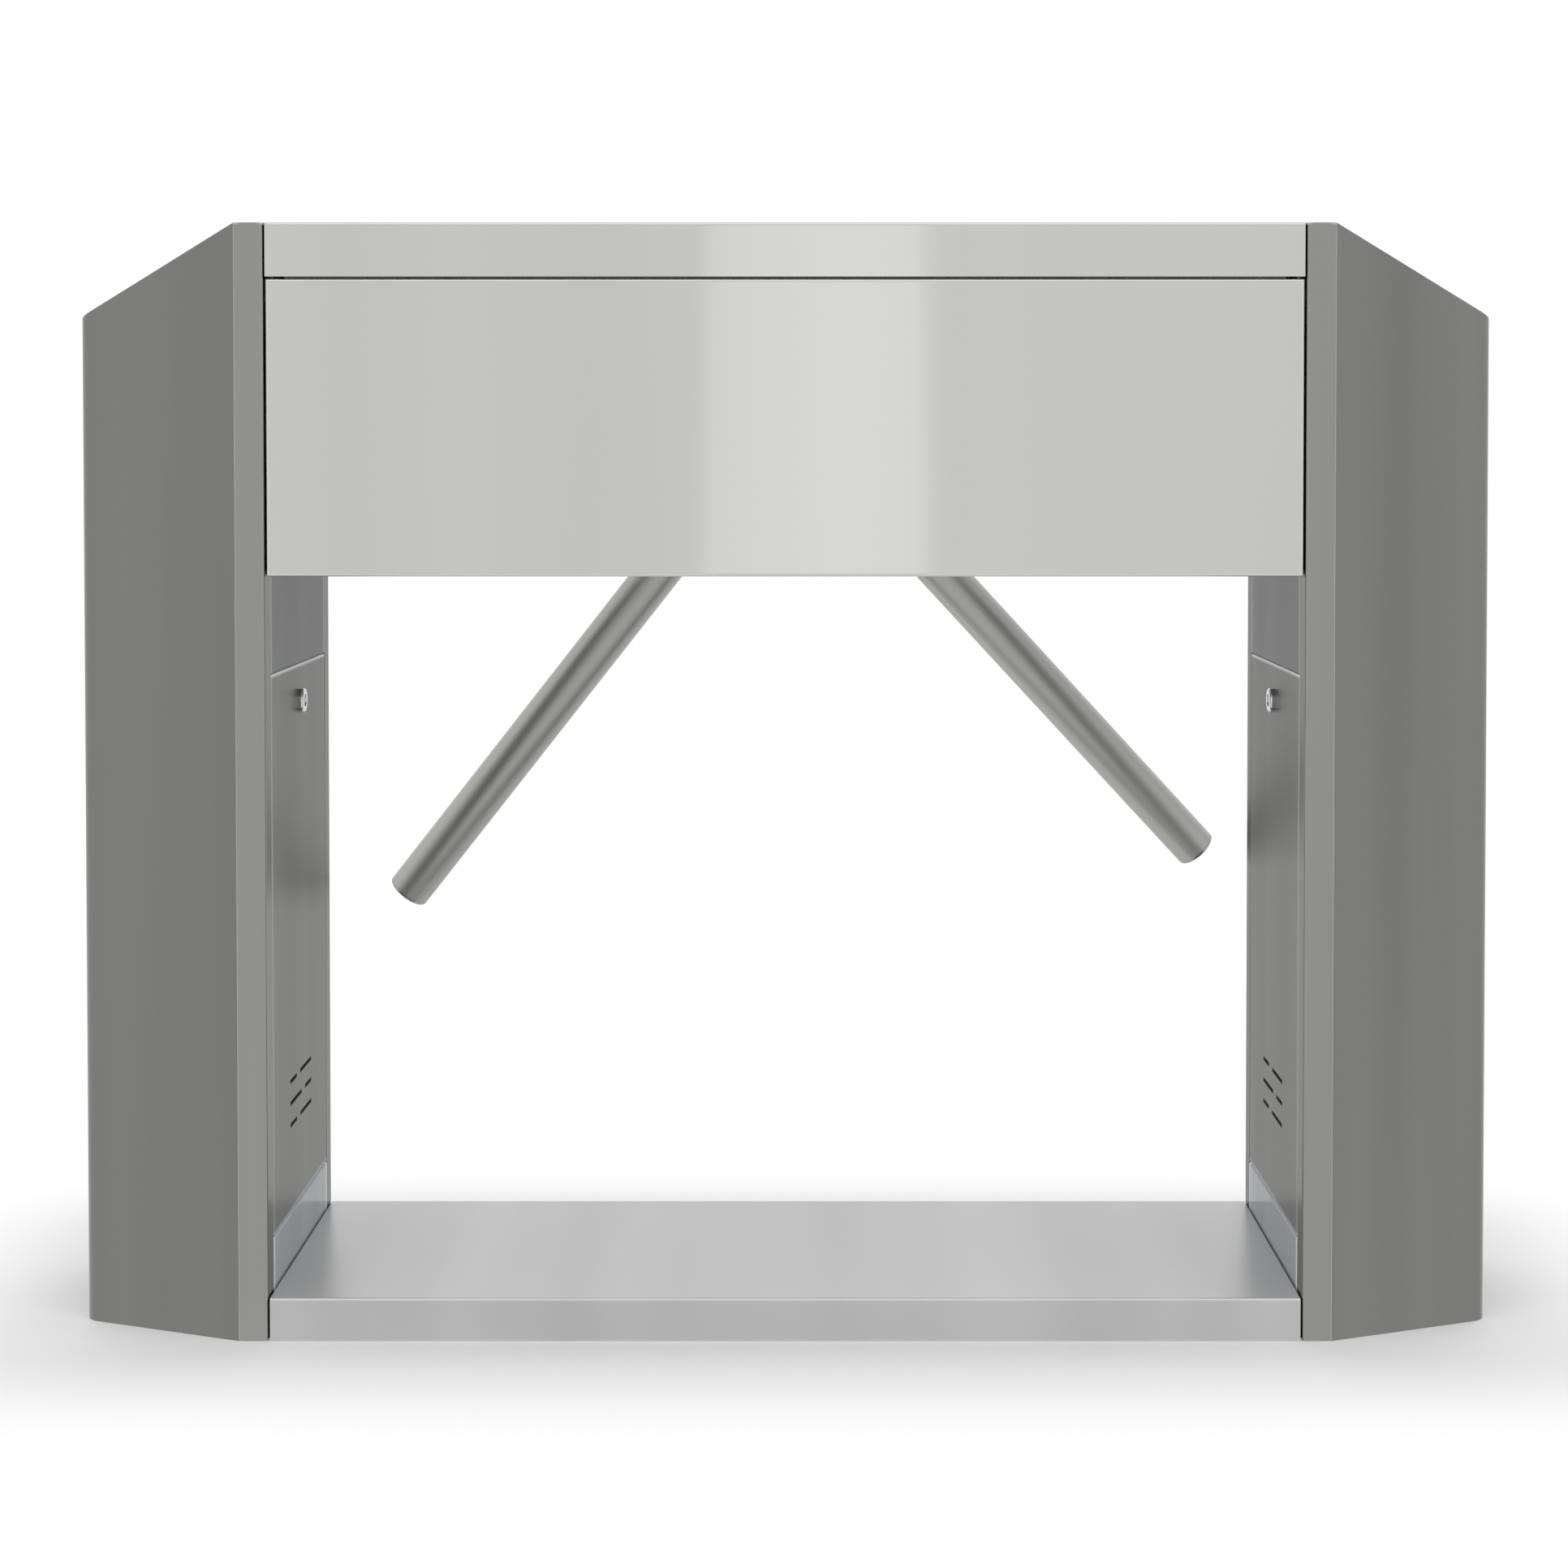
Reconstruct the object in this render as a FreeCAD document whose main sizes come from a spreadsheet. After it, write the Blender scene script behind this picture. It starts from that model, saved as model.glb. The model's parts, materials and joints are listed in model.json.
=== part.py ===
import FreeCAD, Part
import math
import os
from types import SimpleNamespace

import Sketcher

# Tripod turnstile: two sheet-steel columns joined by a beam and a base tray, with a three-arm head
# on a shaft that leans out of the beam's back. Millimetres, +Z up, +X along the walkway, +Y towards
# the arms. The origin is on the floor, midway between the columns and midway through the depth.

DIMENSIONS = {
    # cabinet
    "cabinet_length": 1285.0,
    "cabinet_height": 1000.0,
    "cabinet_depth": 300.0,
    "inner_gap": 926.0,
    "sheet": 2.0,
    "bend": 3.0,
    "seam": 0.8,
    # columns
    "strip_width": 26.5,
    "flange_depth": 24.0,
    "cover_setback": 56.7,
    "cover_bend": 18.0,
    "cover_edge": 2.0,
    "cover_flange": 22.0,
    "cover_head": 90.0,
    "end_height": 918.6,
    "foot_plate": 8.0,
    "foot_reach": 135.0,
    "foot_taper": 70.0,
    "foot_nose": 200.0,
    "anchor_radius": 7.0,
    "anchor_spacing_x": 80.0,
    "anchor_spacing_y": 160.0,
    "cable_radius": 30.0,
    "reader_length": 80.0,
    "reader_width": 60.0,
    "reader_rim": 6.0,
    "reader_proud": 2.5,
    "reader_plug": 5.0,
    "trim_gap": 0.2,
    # service doors
    "door_bottom": 86.0,
    "door_head": 89.5,
    "door_depth": 25.0,
    "tongue_offset": 80.0,
    "tongue_width": 30.0,
    "tongue_length": 12.0,
    "tongue_gap": 0.3,
    "tongue_inset": 0.5,
    "tongue_slot": 10.0,
    "tongue_play": 2.0,
    "tongue_shoulder": 8.0,
    "panel_flange": 26.0,
    "panel_bend": 2.5,
    "catch_gap": 0.5,
    "vent_first": 122.0,
    "vent_pitch": 20.5,
    "vent_height": 4.0,
    "vent_short": 30.0,
    "vent_bridge": 16.0,
    "vent_long": 52.0,
    "lock_drop": 35.0,
    "lock_radius": 11.5,
    "lock_proud": 6.0,
    "barrel_radius": 9.0,
    "barrel_length": 23.5,
    "lock_nut_radius": 13.0,
    "lock_nut": 5.0,
    "plug_radius": 6.0,
    "plug_recess": 0.8,
    "keyway": 1.6,
    "keyway_height": 7.0,
    "cam_length": 44.0,
    "cam_width": 14.0,
    "cam_thickness": 3.0,
    # base tray
    "base_height": 38.4,
    "base_rail_inset": 10.0,
    "duct_width": 120.0,
    "duct_low": 10.0,
    "duct_height": 22.0,
    # beam
    "beam_gap": 1.4,
    "beam_height": 314.5,
    "pan_depth": 11.0,
    "lid_lip": 48.0,
    "lid_gap": 1.8,
    "beam_plate": 3.0,
    "end_flange": 240.0,
    "bolt_spacing": 120.0,
    "bolt_lift": 74.5,
    "bolt_rise": 120.0,
    "port_radius": 15.0,
    "bolt_radius": 4.0,
    "bolt_head_radius": 6.5,
    "bolt_head": 5.0,
    "hole_play": 0.25,
    "screw_radius": 2.5,
    "screw_head_radius": 4.5,
    "screw_head": 3.0,
    "screw_nut": 4.0,
    "screw_first": 150.0,
    "screw_pitch": 300.0,
    # lid hinges
    "hinge_offset": 300.0,
    "hinge_length": 60.0,
    "hinge_knuckle": 20.0,
    "hinge_radius": 4.0,
    "hinge_pin": 2.5,
    "hinge_leaf": 24.0,
    "hinge_play": 0.05,
    # tripod head: apex is where the arm axes meet the shaft axis
    "apex_offset": 44.0,
    "apex_drop": 156.0,
    "shaft_tilt": 42.5,
    "arm_cone": 47.5,
    "arm_phase": -3.9,
    "arm_reach": 665.0,
    "arm_radius": 22.25,
    "arm_wall": 2.0,
    "arm_start": 58.0,
    "cap_thickness": 3.0,
    "cap_plug": 12.0,
    "spigot_length": 60.0,
    "boss_radius": 27.0,
    "boss_start": 22.0,
    "hub_radius": 42.0,
    "hub_back": 7.0,
    "hub_front": 40.0,
    "hub_nose_radius": 18.0,
    "hub_shoulder": 14.0,
    "hub_socket": 28.0,
    "hub_screw_radius": 5.0,
    "hub_screw_head_radius": 8.0,
    "hub_screw_head": 8.0,
    "hub_screw_length": 42.0,
    "arm_screw_radius": 4.0,
    "arm_screw_place": 30.0,
    "arm_screw_length": 10.0,
    # shaft and its bearings, measured along the shaft from the apex into the beam
    "shaft_radius": 15.0,
    "shaft_end": 168.0,
    "running_gap": 0.03,
    "seat_gap": 0.02,
    "sleeve_start": 11.0,
    "sleeve_radius": 29.0,
    "sleeve_bore": 19.0,
    "bearing_radius": 23.5,
    "bearing_width": 9.0,
    "bearing_recess": 1.0,
    "seal_radius": 38.0,
    "seal_thickness": 3.0,
    "seal_gap": 0.4,
    "wall_hole_gap": 2.0,
    # mechanism frame inside the beam
    "plate_height": 116.0,
    "plate_thickness": 8.0,
    "plate_half_width": 140.0,
    "plate_top": 31.0,
    "plate_low": 270.0,
    "cheek": 5.0,
    "frame_foot": 28.0,
    "frame_screw_pitch": 95.0,
    "housing_flange": 6.0,
    "housing_half_width": 50.0,
    "housing_drop": 44.0,
    "housing_rise": 34.0,
    "housing_corner": 11.0,
    "housing_screw_x": 38.0,
    "housing_screw_drop": 33.0,
    "housing_screw_rise": 24.0,
    "plate_screw_radius": 3.0,
    "plate_screw_head_radius": 5.0,
    "plate_screw_head": 3.6,
    # gear pair
    "gear_module": 2.5,
    "gear_teeth": 40,
    "pinion_teeth": 16,
    "pressure_angle": 20.0,
    "backlash": 0.3,
    "gear_start": 136.0,
    "gear_width": 10.0,
    "gear_boss_radius": 21.0,
    "bearing_clear": 0.5,
    "motor_radius": 30.0,
    "motor_length": 66.0,
    "motor_shaft_radius": 6.0,
    "motor_shaft_depth": 40.0,
    "motor_pilot_radius": 13.0,
    "motor_screw_circle": 23.0,
    # lock disc, pawls and solenoids
    "disc_start": 152.0,
    "disc_thickness": 8.0,
    "disc_radius": 46.0,
    "disc_notches": 6,
    "notch_width": 10.0,
    "notch_depth": 11.0,
    "pawl_pivot_x": 56.0,
    "pawl_pivot_drop": 45.0,
    "pawl_post_radius": 5.0,
    "pawl_post_head": 3.0,
    "pawl_post_head_radius": 8.0,
    "pawl_eye_radius": 9.0,
    "pawl_arm_offset": 3.0,
    "pawl_arm_width": 11.0,
    "nose_gap": 2.0,
    "nose_width": 6.0,
    "nose_height": 1.5,
    "nose_back": 8.0,
    "tail_length": 31.0,
    "tail_width": 10.0,
    "fork_drop": 27.0,
    "fork_gap": 1.2,
    "fork_prong": 4.5,
    "fork_width": 6.0,
    "fork_floor": 4.0,
    "plunger_radius": 4.0,
    "plunger_depth": 38.0,
    "solenoid_start": 80.0,
    "solenoid_length": 48.0,
    "solenoid_size": 34.0,
    "solenoid_foot": 26.0,
    "solenoid_back": 2.0,
    # angle sensor
    "magnet_radius": 6.0,
    "magnet_length": 3.0,
    "sensor_gap": 1.5,
    "sensor_board": 24.0,
    "board_thickness": 1.6,
    "bridge_half_width": 69.0,
    "bridge_leg": 12.0,
    "bridge_top": 30.0,
    "bridge_depth": 10.0,
    "bridge_plate": 2.0,
    # electronics on the beam floor
    "control_place": 300.0,
    "control_length": 170.0,
    "control_width": 110.0,
    "standoff": 12.0,
    "standoff_radius": 4.0,
    "standoff_inset": 8.0,
    "relay_size": 18.0,
    "relay_pitch": 24.0,
    "terminal_length": 120.0,
    "terminal_width": 12.0,
    "supply_length": 160.0,
    "supply_width": 98.0,
    "supply_height": 42.0,
}

doc = FreeCAD.newDocument("tripod_turnstile")
sheet = doc.addObject("Spreadsheet::Sheet", "Sizes")
for row, (alias, number) in enumerate(DIMENSIONS.items(), 1):
    sheet.set(f"A{row}", alias)
    sheet.set(f"B{row}", str(number))
    sheet.setAlias(f"B{row}", alias)
doc.recompute()


class Size(float):
    """A number that keeps the sheet formula it was worked out with."""

    def __new__(cls, value, formula=None):
        made = super().__new__(cls, value)
        made.formula = formula or f"({float(value):.6f})"
        return made

    def joined(self, mark, other, value):
        return Size(value, f"({self.formula} {mark} {Size.formula_of(other)})")

    @staticmethod
    def formula_of(number):
        return number.formula if isinstance(number, Size) else Size(number).formula

    def __add__(self, other):
        return self.joined("+", other, float(self) + float(other))

    def __sub__(self, other):
        return self.joined("-", other, float(self) - float(other))

    def __mul__(self, other):
        return self.joined("*", other, float(self) * float(other))

    def __truediv__(self, other):
        return self.joined("/", other, float(self) / float(other))

    def __radd__(self, other):
        return Size(other) + self

    def __rsub__(self, other):
        return Size(other) - self

    def __rmul__(self, other):
        return Size(other) * self

    def __neg__(self):
        return Size(-float(self), f"(-{self.formula})")

    def root(self):
        return Size(math.sqrt(self), f"sqrt({self.formula})")

    def sine(self):
        return Size(math.sin(math.radians(self)), f"sin({self.formula})")

    def cosine(self):
        return Size(math.cos(math.radians(self)), f"cos({self.formula})")


d = SimpleNamespace(**{alias: Size(sheet.get(alias), f"Sizes.{alias}") for alias in DIMENSIONS})
X_AXIS = FreeCAD.Vector(1, 0, 0)
Y_AXIS = FreeCAD.Vector(0, 1, 0)
Z_AXIS = FreeCAD.Vector(0, 0, 1)
CENTRE = (0.0, 0.0)
OVERCUT = 1.0
SIDES = {"left": -1, "right": 1}
FACES = {"front": -1, "back": 1}
sub_parts = []


def bind(made, prop, size):
    made.setExpression(prop, Size.formula_of(size))


def span(one, other):
    return (one, other) if one <= other else (other, one)


def keep(made, label):
    """Names a finished sub-part."""
    made.Label = label
    sub_parts.append(made)
    return made


def box(name, xs, ys, zs):
    made = doc.addObject("Part::Box", name)
    for prop, axis, ends in zip(("Length", "Width", "Height"), "xyz", (xs, ys, zs)):
        low, high = span(*ends)
        bind(made, prop, high - low)
        bind(made, f"Placement.Base.{axis}", low)
    return made


def rod(name, radius, axis, ends, centre):
    """A cylinder along x, y or z; centre gives the other two coordinates in order."""
    low, high = span(*ends)
    made = doc.addObject("Part::Cylinder", name)
    bind(made, "Radius", radius)
    bind(made, "Height", high - low)
    turns = {"x": FreeCAD.Rotation(Y_AXIS, 90), "y": FreeCAD.Rotation(X_AXIS, -90), "z": FreeCAD.Rotation()}
    made.Placement = FreeCAD.Placement(FreeCAD.Vector(), turns[axis])
    bind(made, f"Placement.Base.{axis}", low)
    for other, place in zip("xyz".replace(axis, ""), centre):
        bind(made, f"Placement.Base.{other}", place)
    return made


def fuse(name, *pieces):
    made = doc.addObject("Part::MultiFuse", name)
    made.Shapes = list(pieces)
    made.Refine = True
    return made


def cut(name, base, *tools):
    made = doc.addObject("Part::Cut", name)
    made.Base = base
    made.Tool = tools[0] if len(tools) == 1 else fuse(f"{name}_tools", *tools)
    return made


def common(name, one, other):
    made = doc.addObject("Part::Common", name)
    made.Base = one
    made.Tool = other
    return made


def group(name, *pieces):
    made = doc.addObject("Part::Compound", name)
    made.Links = list(pieces)
    return made


def rounded(name, base, radius, chosen):
    """Rounds the edges of base that chosen(edge) picks."""
    doc.recompute()
    made = doc.addObject("Part::Fillet", name)
    made.Base = base
    picked = [number for number, edge in enumerate(base.Shape.Edges, 1) if chosen(edge)]
    made.Edges = [(number, float(radius), float(radius)) for number in picked]
    return made


def along(edge, axis):
    """True for a straight edge that runs along the axis."""
    ends = edge.Vertexes
    if len(ends) != 2:
        return False
    run = ends[1].Point - ends[0].Point
    return run.cross(axis).Length < 1e-6 * run.Length


def lies_at(edge, axis, place):
    """True for an edge whose points all have this coordinate."""
    near = 1e-4
    return all(abs(vertex.Point.dot(axis) - place) < near for vertex in edge.Vertexes)


def outline(body, plane, corners, height=0.0):
    """A closed sketch through corners, each coordinate bound to its size."""
    support = [face for face in body.Origin.OriginFeatures if face.Role == plane]
    sketch = body.newObject("Sketcher::SketchObject", f"{body.Name}_outline")
    sketch.AttachmentSupport = [(support[0], "")]
    sketch.MapMode = "FlatFace"
    bind(sketch, "AttachmentOffset.Base.z", height)
    points = [FreeCAD.Vector(*corner, 0) for corner in corners]
    count = len(points)
    for index, point in enumerate(points):
        sketch.addGeometry(Part.LineSegment(point, points[(index + 1) % count]))
    for index in range(count):
        sketch.addConstraint(Sketcher.Constraint("Coincident", index, 2, (index + 1) % count, 1))
    for index, corner in enumerate(corners):
        for kind, place in zip(("DistanceX", "DistanceY"), corner):
            number = sketch.addConstraint(Sketcher.Constraint(kind, -1, 1, index, 1, float(place)))
            bind(sketch, f"Constraints[{number}]", place)
    return sketch


def turned(name, profile):
    """A piece turned about z, from (radius, height) corners."""
    body = doc.addObject("PartDesign::Body", name)
    sketch = outline(body, "XZ_Plane", profile)
    turn = body.newObject("PartDesign::Revolution", f"{name}_turn")
    turn.Profile = sketch
    turn.ReferenceAxis = (sketch, ["V_Axis"])
    turn.Angle = 360
    return body


def tube(radius, bore, low, high):
    return [(bore, low), (radius, low), (radius, high), (bore, high)]


def plate(name, corners, low, high):
    """A flat piece of the given plan outline between two heights."""
    body = doc.addObject("PartDesign::Body", name)
    sketch = outline(body, "XY_Plane", corners, low)
    pad = body.newObject("PartDesign::Pad", f"{name}_pad")
    pad.Profile = sketch
    bind(pad, "Length", high - low)
    return body


def rectangle(half_x, half_y):
    return [(-half_x, -half_y), (half_x, -half_y), (half_x, half_y), (-half_x, half_y)]


half_gap = d.inner_gap / 2
half_length = d.cabinet_length / 2
half_depth = d.cabinet_depth / 2
strip_end = half_gap + d.strip_width
skin_back = half_gap + d.sheet
panel_half = half_depth - d.flange_depth - d.seam
beam_half = half_gap - d.beam_gap
full_height = (0, d.cabinet_height - d.sheet)
beam_bottom = d.cabinet_height - d.beam_height
bolt_low = beam_bottom + d.bolt_lift
door_top = beam_bottom - d.door_head


# Columns

def post(side, sign, face, facing):
    """A channel post: the narrow front or back strip with a leg at each edge."""
    label = f"{side}_{face}_post"
    ys = (facing * (half_depth - d.flange_depth), facing * half_depth)
    block = box(f"{label}_block", (sign * half_gap, sign * strip_end), ys, full_height)
    bent = rounded(f"{label}_bent", block, d.bend,
                   lambda edge: lies_at(edge, X_AXIS, sign * half_gap) and along(edge, Z_AXIS)
                   and lies_at(edge, Y_AXIS, facing * half_depth))
    hollow = box(f"{label}_hollow", (sign * skin_back, sign * (strip_end - d.sheet)),
                 (facing * (half_depth - d.flange_depth - OVERCUT), facing * (half_depth - d.sheet)),
                 (-OVERCUT, d.cabinet_height))
    leg = (sign * (strip_end - d.sheet - OVERCUT), sign * (strip_end + OVERCUT))
    holes = [rod(f"{label}_screw_{number}", d.screw_radius + d.hole_play, "x", leg, place)
             for number, place in enumerate(cover_screw_places()) if place[0] * facing > 0]
    keep(cut(f"{label}_channel", bent, hollow, *holes), label)


def anchor_places():
    middle = skin_back + d.foot_reach / 2
    return [(middle + x * d.anchor_spacing_x / 2, y * d.anchor_spacing_y / 2)
            for x in (-1, 1) for y in (-1, 1)]


def foot_plate(side, sign):
    """The anchored plate inside the column, with a tongue welded into each post's foot."""
    label = f"{side}_foot_plate"
    tongue_x = strip_end - d.sheet
    tongue_y = half_depth - d.sheet
    shoulder_y = half_depth - d.flange_depth
    tip_x = skin_back + d.foot_reach
    half_outline = [(skin_back, tongue_y), (tongue_x, tongue_y), (tongue_x, shoulder_y),
                    (tip_x - d.foot_taper, shoulder_y), (tip_x, d.foot_nose / 2)]
    corners = [(sign * x, y) for x, y in half_outline]
    corners += [(sign * x, -y) for x, y in reversed(half_outline)]
    blank = plate(f"{label}_blank", corners, 0.0, d.foot_plate)
    through = (-OVERCUT, d.foot_plate + OVERCUT)
    holes = [rod(f"{label}_hole_{number}", d.anchor_radius, "z", through, (sign * x, y))
             for number, (x, y) in enumerate(anchor_places())]
    cable = rod(f"{label}_cable", d.cable_radius, "z", through, (sign * (skin_back + d.foot_reach / 2), 0.0))
    keep(cut(f"{label}_drilled", blank, *holes, cable), label)


def lower_panel(side, sign):
    """The fixed panel under the door: slots for the door's tongues, and a way through for cables."""
    label = f"{side}_lower_panel"
    top = d.door_bottom - d.seam
    ys = (-panel_half, panel_half)
    block = box(f"{label}_block", (sign * half_gap, sign * (half_gap + d.panel_flange)), ys, (0, top))
    bent = rounded(f"{label}_bent", block, d.panel_bend,
                   lambda edge: along(edge, Y_AXIS) and lies_at(edge, X_AXIS, sign * half_gap)
                   and lies_at(edge, Z_AXIS, top))
    hollow = box(f"{label}_hollow", (sign * skin_back, sign * (half_gap + d.panel_flange + OVERCUT)),
                 (-half_depth, half_depth), (-OVERCUT, top - d.sheet))
    slot_start = skin_back + d.tongue_inset - d.tongue_gap
    slots = []
    for end in (-1, 1):
        middle = end * d.tongue_offset
        reach = d.tongue_width / 2 + d.tongue_play
        slots.append(box(f"{label}_slot_{end + 1}", (sign * slot_start, sign * (slot_start + d.tongue_slot)),
                         (middle - reach, middle + reach), (top - d.sheet - OVERCUT, top + OVERCUT)))
    duct = box(f"{label}_duct", (sign * (half_gap - OVERCUT), sign * (skin_back + OVERCUT)),
               (-d.duct_width / 2, d.duct_width / 2), (d.duct_low, d.duct_low + d.duct_height))
    keep(cut(f"{label}_slotted", bent, hollow, duct, *slots), label)


def bolt_places():
    return [(y * d.bolt_spacing / 2, bolt_low + step * d.bolt_rise) for y in (-1, 1) for step in (0, 1)]


def bolt_holes(label, sign, ends):
    """The beam's bolt holes, and the cable port in their middle."""
    through = (sign * ends[0], sign * ends[1])
    holes = [rod(f"{label}_bolt_{number}", d.bolt_radius + d.hole_play, "x", through, place)
             for number, place in enumerate(bolt_places())]
    port = rod(f"{label}_port", d.port_radius, "x", through, (0.0, bolt_low + d.bolt_rise / 2))
    return holes + [port]


def upper_panel(side, sign):
    """The fixed panel above the door; its top flange closes the strip between the posts."""
    label = f"{side}_upper_panel"
    top = d.cabinet_height - d.sheet
    low = door_top + d.seam
    ys = (-panel_half, panel_half)
    skin = box(f"{label}_skin", (sign * half_gap, sign * skin_back), ys, (low, top))
    catch_end = skin_back + d.barrel_length - d.catch_gap
    catch = box(f"{label}_catch", (sign * half_gap, sign * catch_end), ys, (low, low + d.sheet))
    lid = box(f"{label}_cap", (sign * half_gap, sign * strip_end), (-half_depth, half_depth),
              (top, d.cabinet_height))
    cap = rounded(f"{label}_cap_round", lid, d.sheet / 2,
                  lambda edge: lies_at(edge, Z_AXIS, d.cabinet_height) and along(edge, X_AXIS))
    folded = fuse(f"{label}_folded", skin, catch, cap)
    holes = bolt_holes(label, sign, (half_gap - OVERCUT, skin_back + OVERCUT))
    keep(cut(f"{label}_drilled", folded, *holes), label)


def cover_core(label, sign, inset):
    """The column's outer wedge: angled front and back, rounded ends and a top that falls outwards."""
    run = half_length - strip_end
    fall = d.cabinet_height - d.end_height
    skew = (run * run + d.cover_setback * d.cover_setback).root() / run
    slope = (run * run + fall * fall).root() / run
    near = strip_end + inset
    far = half_length - inset
    near_y = half_depth - inset * skew - inset * d.cover_setback / run
    far_y = half_depth - d.cover_setback - inset * skew + inset * d.cover_setback / run
    corners = [(sign * near, -near_y), (sign * far, -far_y), (sign * far, far_y), (sign * near, near_y)]
    prism = plate(f"{label}_prism", corners, -inset, d.cabinet_height + d.end_height)
    bent = rounded(f"{label}_bent", prism, d.cover_bend - inset,
                   lambda edge: along(edge, Z_AXIS) and lies_at(edge, X_AXIS, sign * far))
    near_z = d.cabinet_height - inset * slope - inset * fall / run
    far_z = d.end_height - inset * slope + inset * fall / run
    wedge = doc.addObject("PartDesign::Body", f"{label}_wedge")
    profile = [(sign * near, -inset), (sign * far, -inset), (sign * far, far_z), (sign * near, near_z)]
    sketch = outline(wedge, "XZ_Plane", profile)
    pad = wedge.newObject("PartDesign::Pad", f"{label}_wedge_pad")
    pad.Profile = sketch
    pad.Midplane = True
    bind(pad, "Length", d.cabinet_depth)
    return common(f"{label}_core", bent, wedge)


def on_slope(edge):
    """True for an edge that lies in the plane of the column's falling top."""
    near = 1e-4
    fall = (d.cabinet_height - d.end_height) / (half_length - strip_end)
    heights = [d.cabinet_height - fall * (abs(vertex.X) - strip_end) for vertex in edge.Vertexes]
    return all(abs(vertex.Z - height) < near for vertex, height in zip(edge.Vertexes, heights))


def reader_place(made, sign):
    """Sets a piece on the middle of the column's sloping top."""
    run = half_length - strip_end
    fall = d.cabinet_height - d.end_height
    made.Placement = FreeCAD.Placement(FreeCAD.Vector(), FreeCAD.Rotation(Y_AXIS, 1))
    made.setExpression("Placement.Rotation.Angle", f"{sign} * atan({(fall / run).formula})")
    bind(made, "Placement.Base.x", sign * (strip_end + run / 2))
    bind(made, "Placement.Base.z", d.cabinet_height - fall / 2)


def cover(side, sign):
    """The bent outer cover, open below and towards the door, with an opening for the reader."""
    label = f"{side}_cover"
    outside = cover_core(f"{label}_outside", sign, Size(0.0))
    eased = rounded(f"{label}_eased", outside, d.cover_edge,
                    lambda edge: on_slope(edge) and not lies_at(edge, X_AXIS, sign * strip_end))
    inside = cover_core(f"{label}_inside", sign, d.sheet)
    window_half = half_depth - d.cover_flange
    wall = (sign * (strip_end - OVERCUT), sign * (strip_end + d.sheet + OVERCUT))
    window = box(f"{label}_window", wall, (-window_half, window_half),
                 (-OVERCUT, d.cabinet_height - d.cover_head))
    reader = plate(f"{label}_reader", rectangle(d.reader_length / 2, d.reader_width / 2),
                   -d.reader_plug, d.reader_plug)
    reader_place(reader, sign)
    screws = [rod(f"{label}_screw_{number}", d.screw_radius + d.hole_play, "x", wall, place)
              for number, place in enumerate(cover_screw_places())]
    keep(cut(f"{label}_shell", eased, inside, window, reader, *screws), label)


def reader_window(side, sign):
    """The dark reader lens, a rim on the slope with a plug through the cover's opening."""
    label = f"{side}_reader_window"
    half_x = d.reader_length / 2
    half_y = d.reader_width / 2
    rim = plate(f"{label}_rim", rectangle(half_x + d.reader_rim, half_y + d.reader_rim), 0.0, d.reader_proud)
    eased = rounded(f"{label}_eased", rim, d.reader_proud / 2,
                    lambda edge: lies_at(edge, Z_AXIS, d.reader_proud) or along(edge, Z_AXIS))
    plug = plate(f"{label}_plug", rectangle(half_x - d.trim_gap, half_y - d.trim_gap), -d.reader_plug, 0.0)
    lens = fuse(f"{label}_lens", eased, plug)
    reader_place(lens, sign)
    keep(lens, label)


def cover_screw_places():
    place_y = half_depth - d.flange_depth / 2
    heights = [d.screw_first + step * d.screw_pitch for step in range(3)]
    return [(facing * place_y, height) for facing in (-1, 1) for height in heights]


def cover_screws():
    """Screws and nuts that hold each cover's flanges to the posts' legs."""
    screws = []
    for side, sign in SIDES.items():
        leg = strip_end - d.sheet
        flange = strip_end + d.sheet
        for number, place in enumerate(cover_screw_places()):
            name = f"{side}_cover_screw_{number}"
            shank = rod(f"{name}_shank", d.screw_radius, "x", (sign * leg, sign * flange), place)
            head = rod(f"{name}_head", d.screw_head_radius, "x",
                       (sign * (leg - d.screw_head), sign * leg), place)
            nut = rod(f"{name}_nut", d.screw_head_radius, "x",
                      (sign * flange, sign * (flange + d.screw_nut)), place)
            screws.append(fuse(name, shank, head, nut))
    keep(group("cover_screw_group", *screws), "cover_screws")


# Service doors

def vent_spans(row):
    """The two slots of a vent row, short and long in turn, as spans along the door."""
    half = (d.vent_short + d.vent_bridge + d.vent_long) / 2
    first = d.vent_short if row % 2 == 0 else d.vent_long
    return [(-half, first - half), (first + d.vent_bridge - half, half)]


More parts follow.
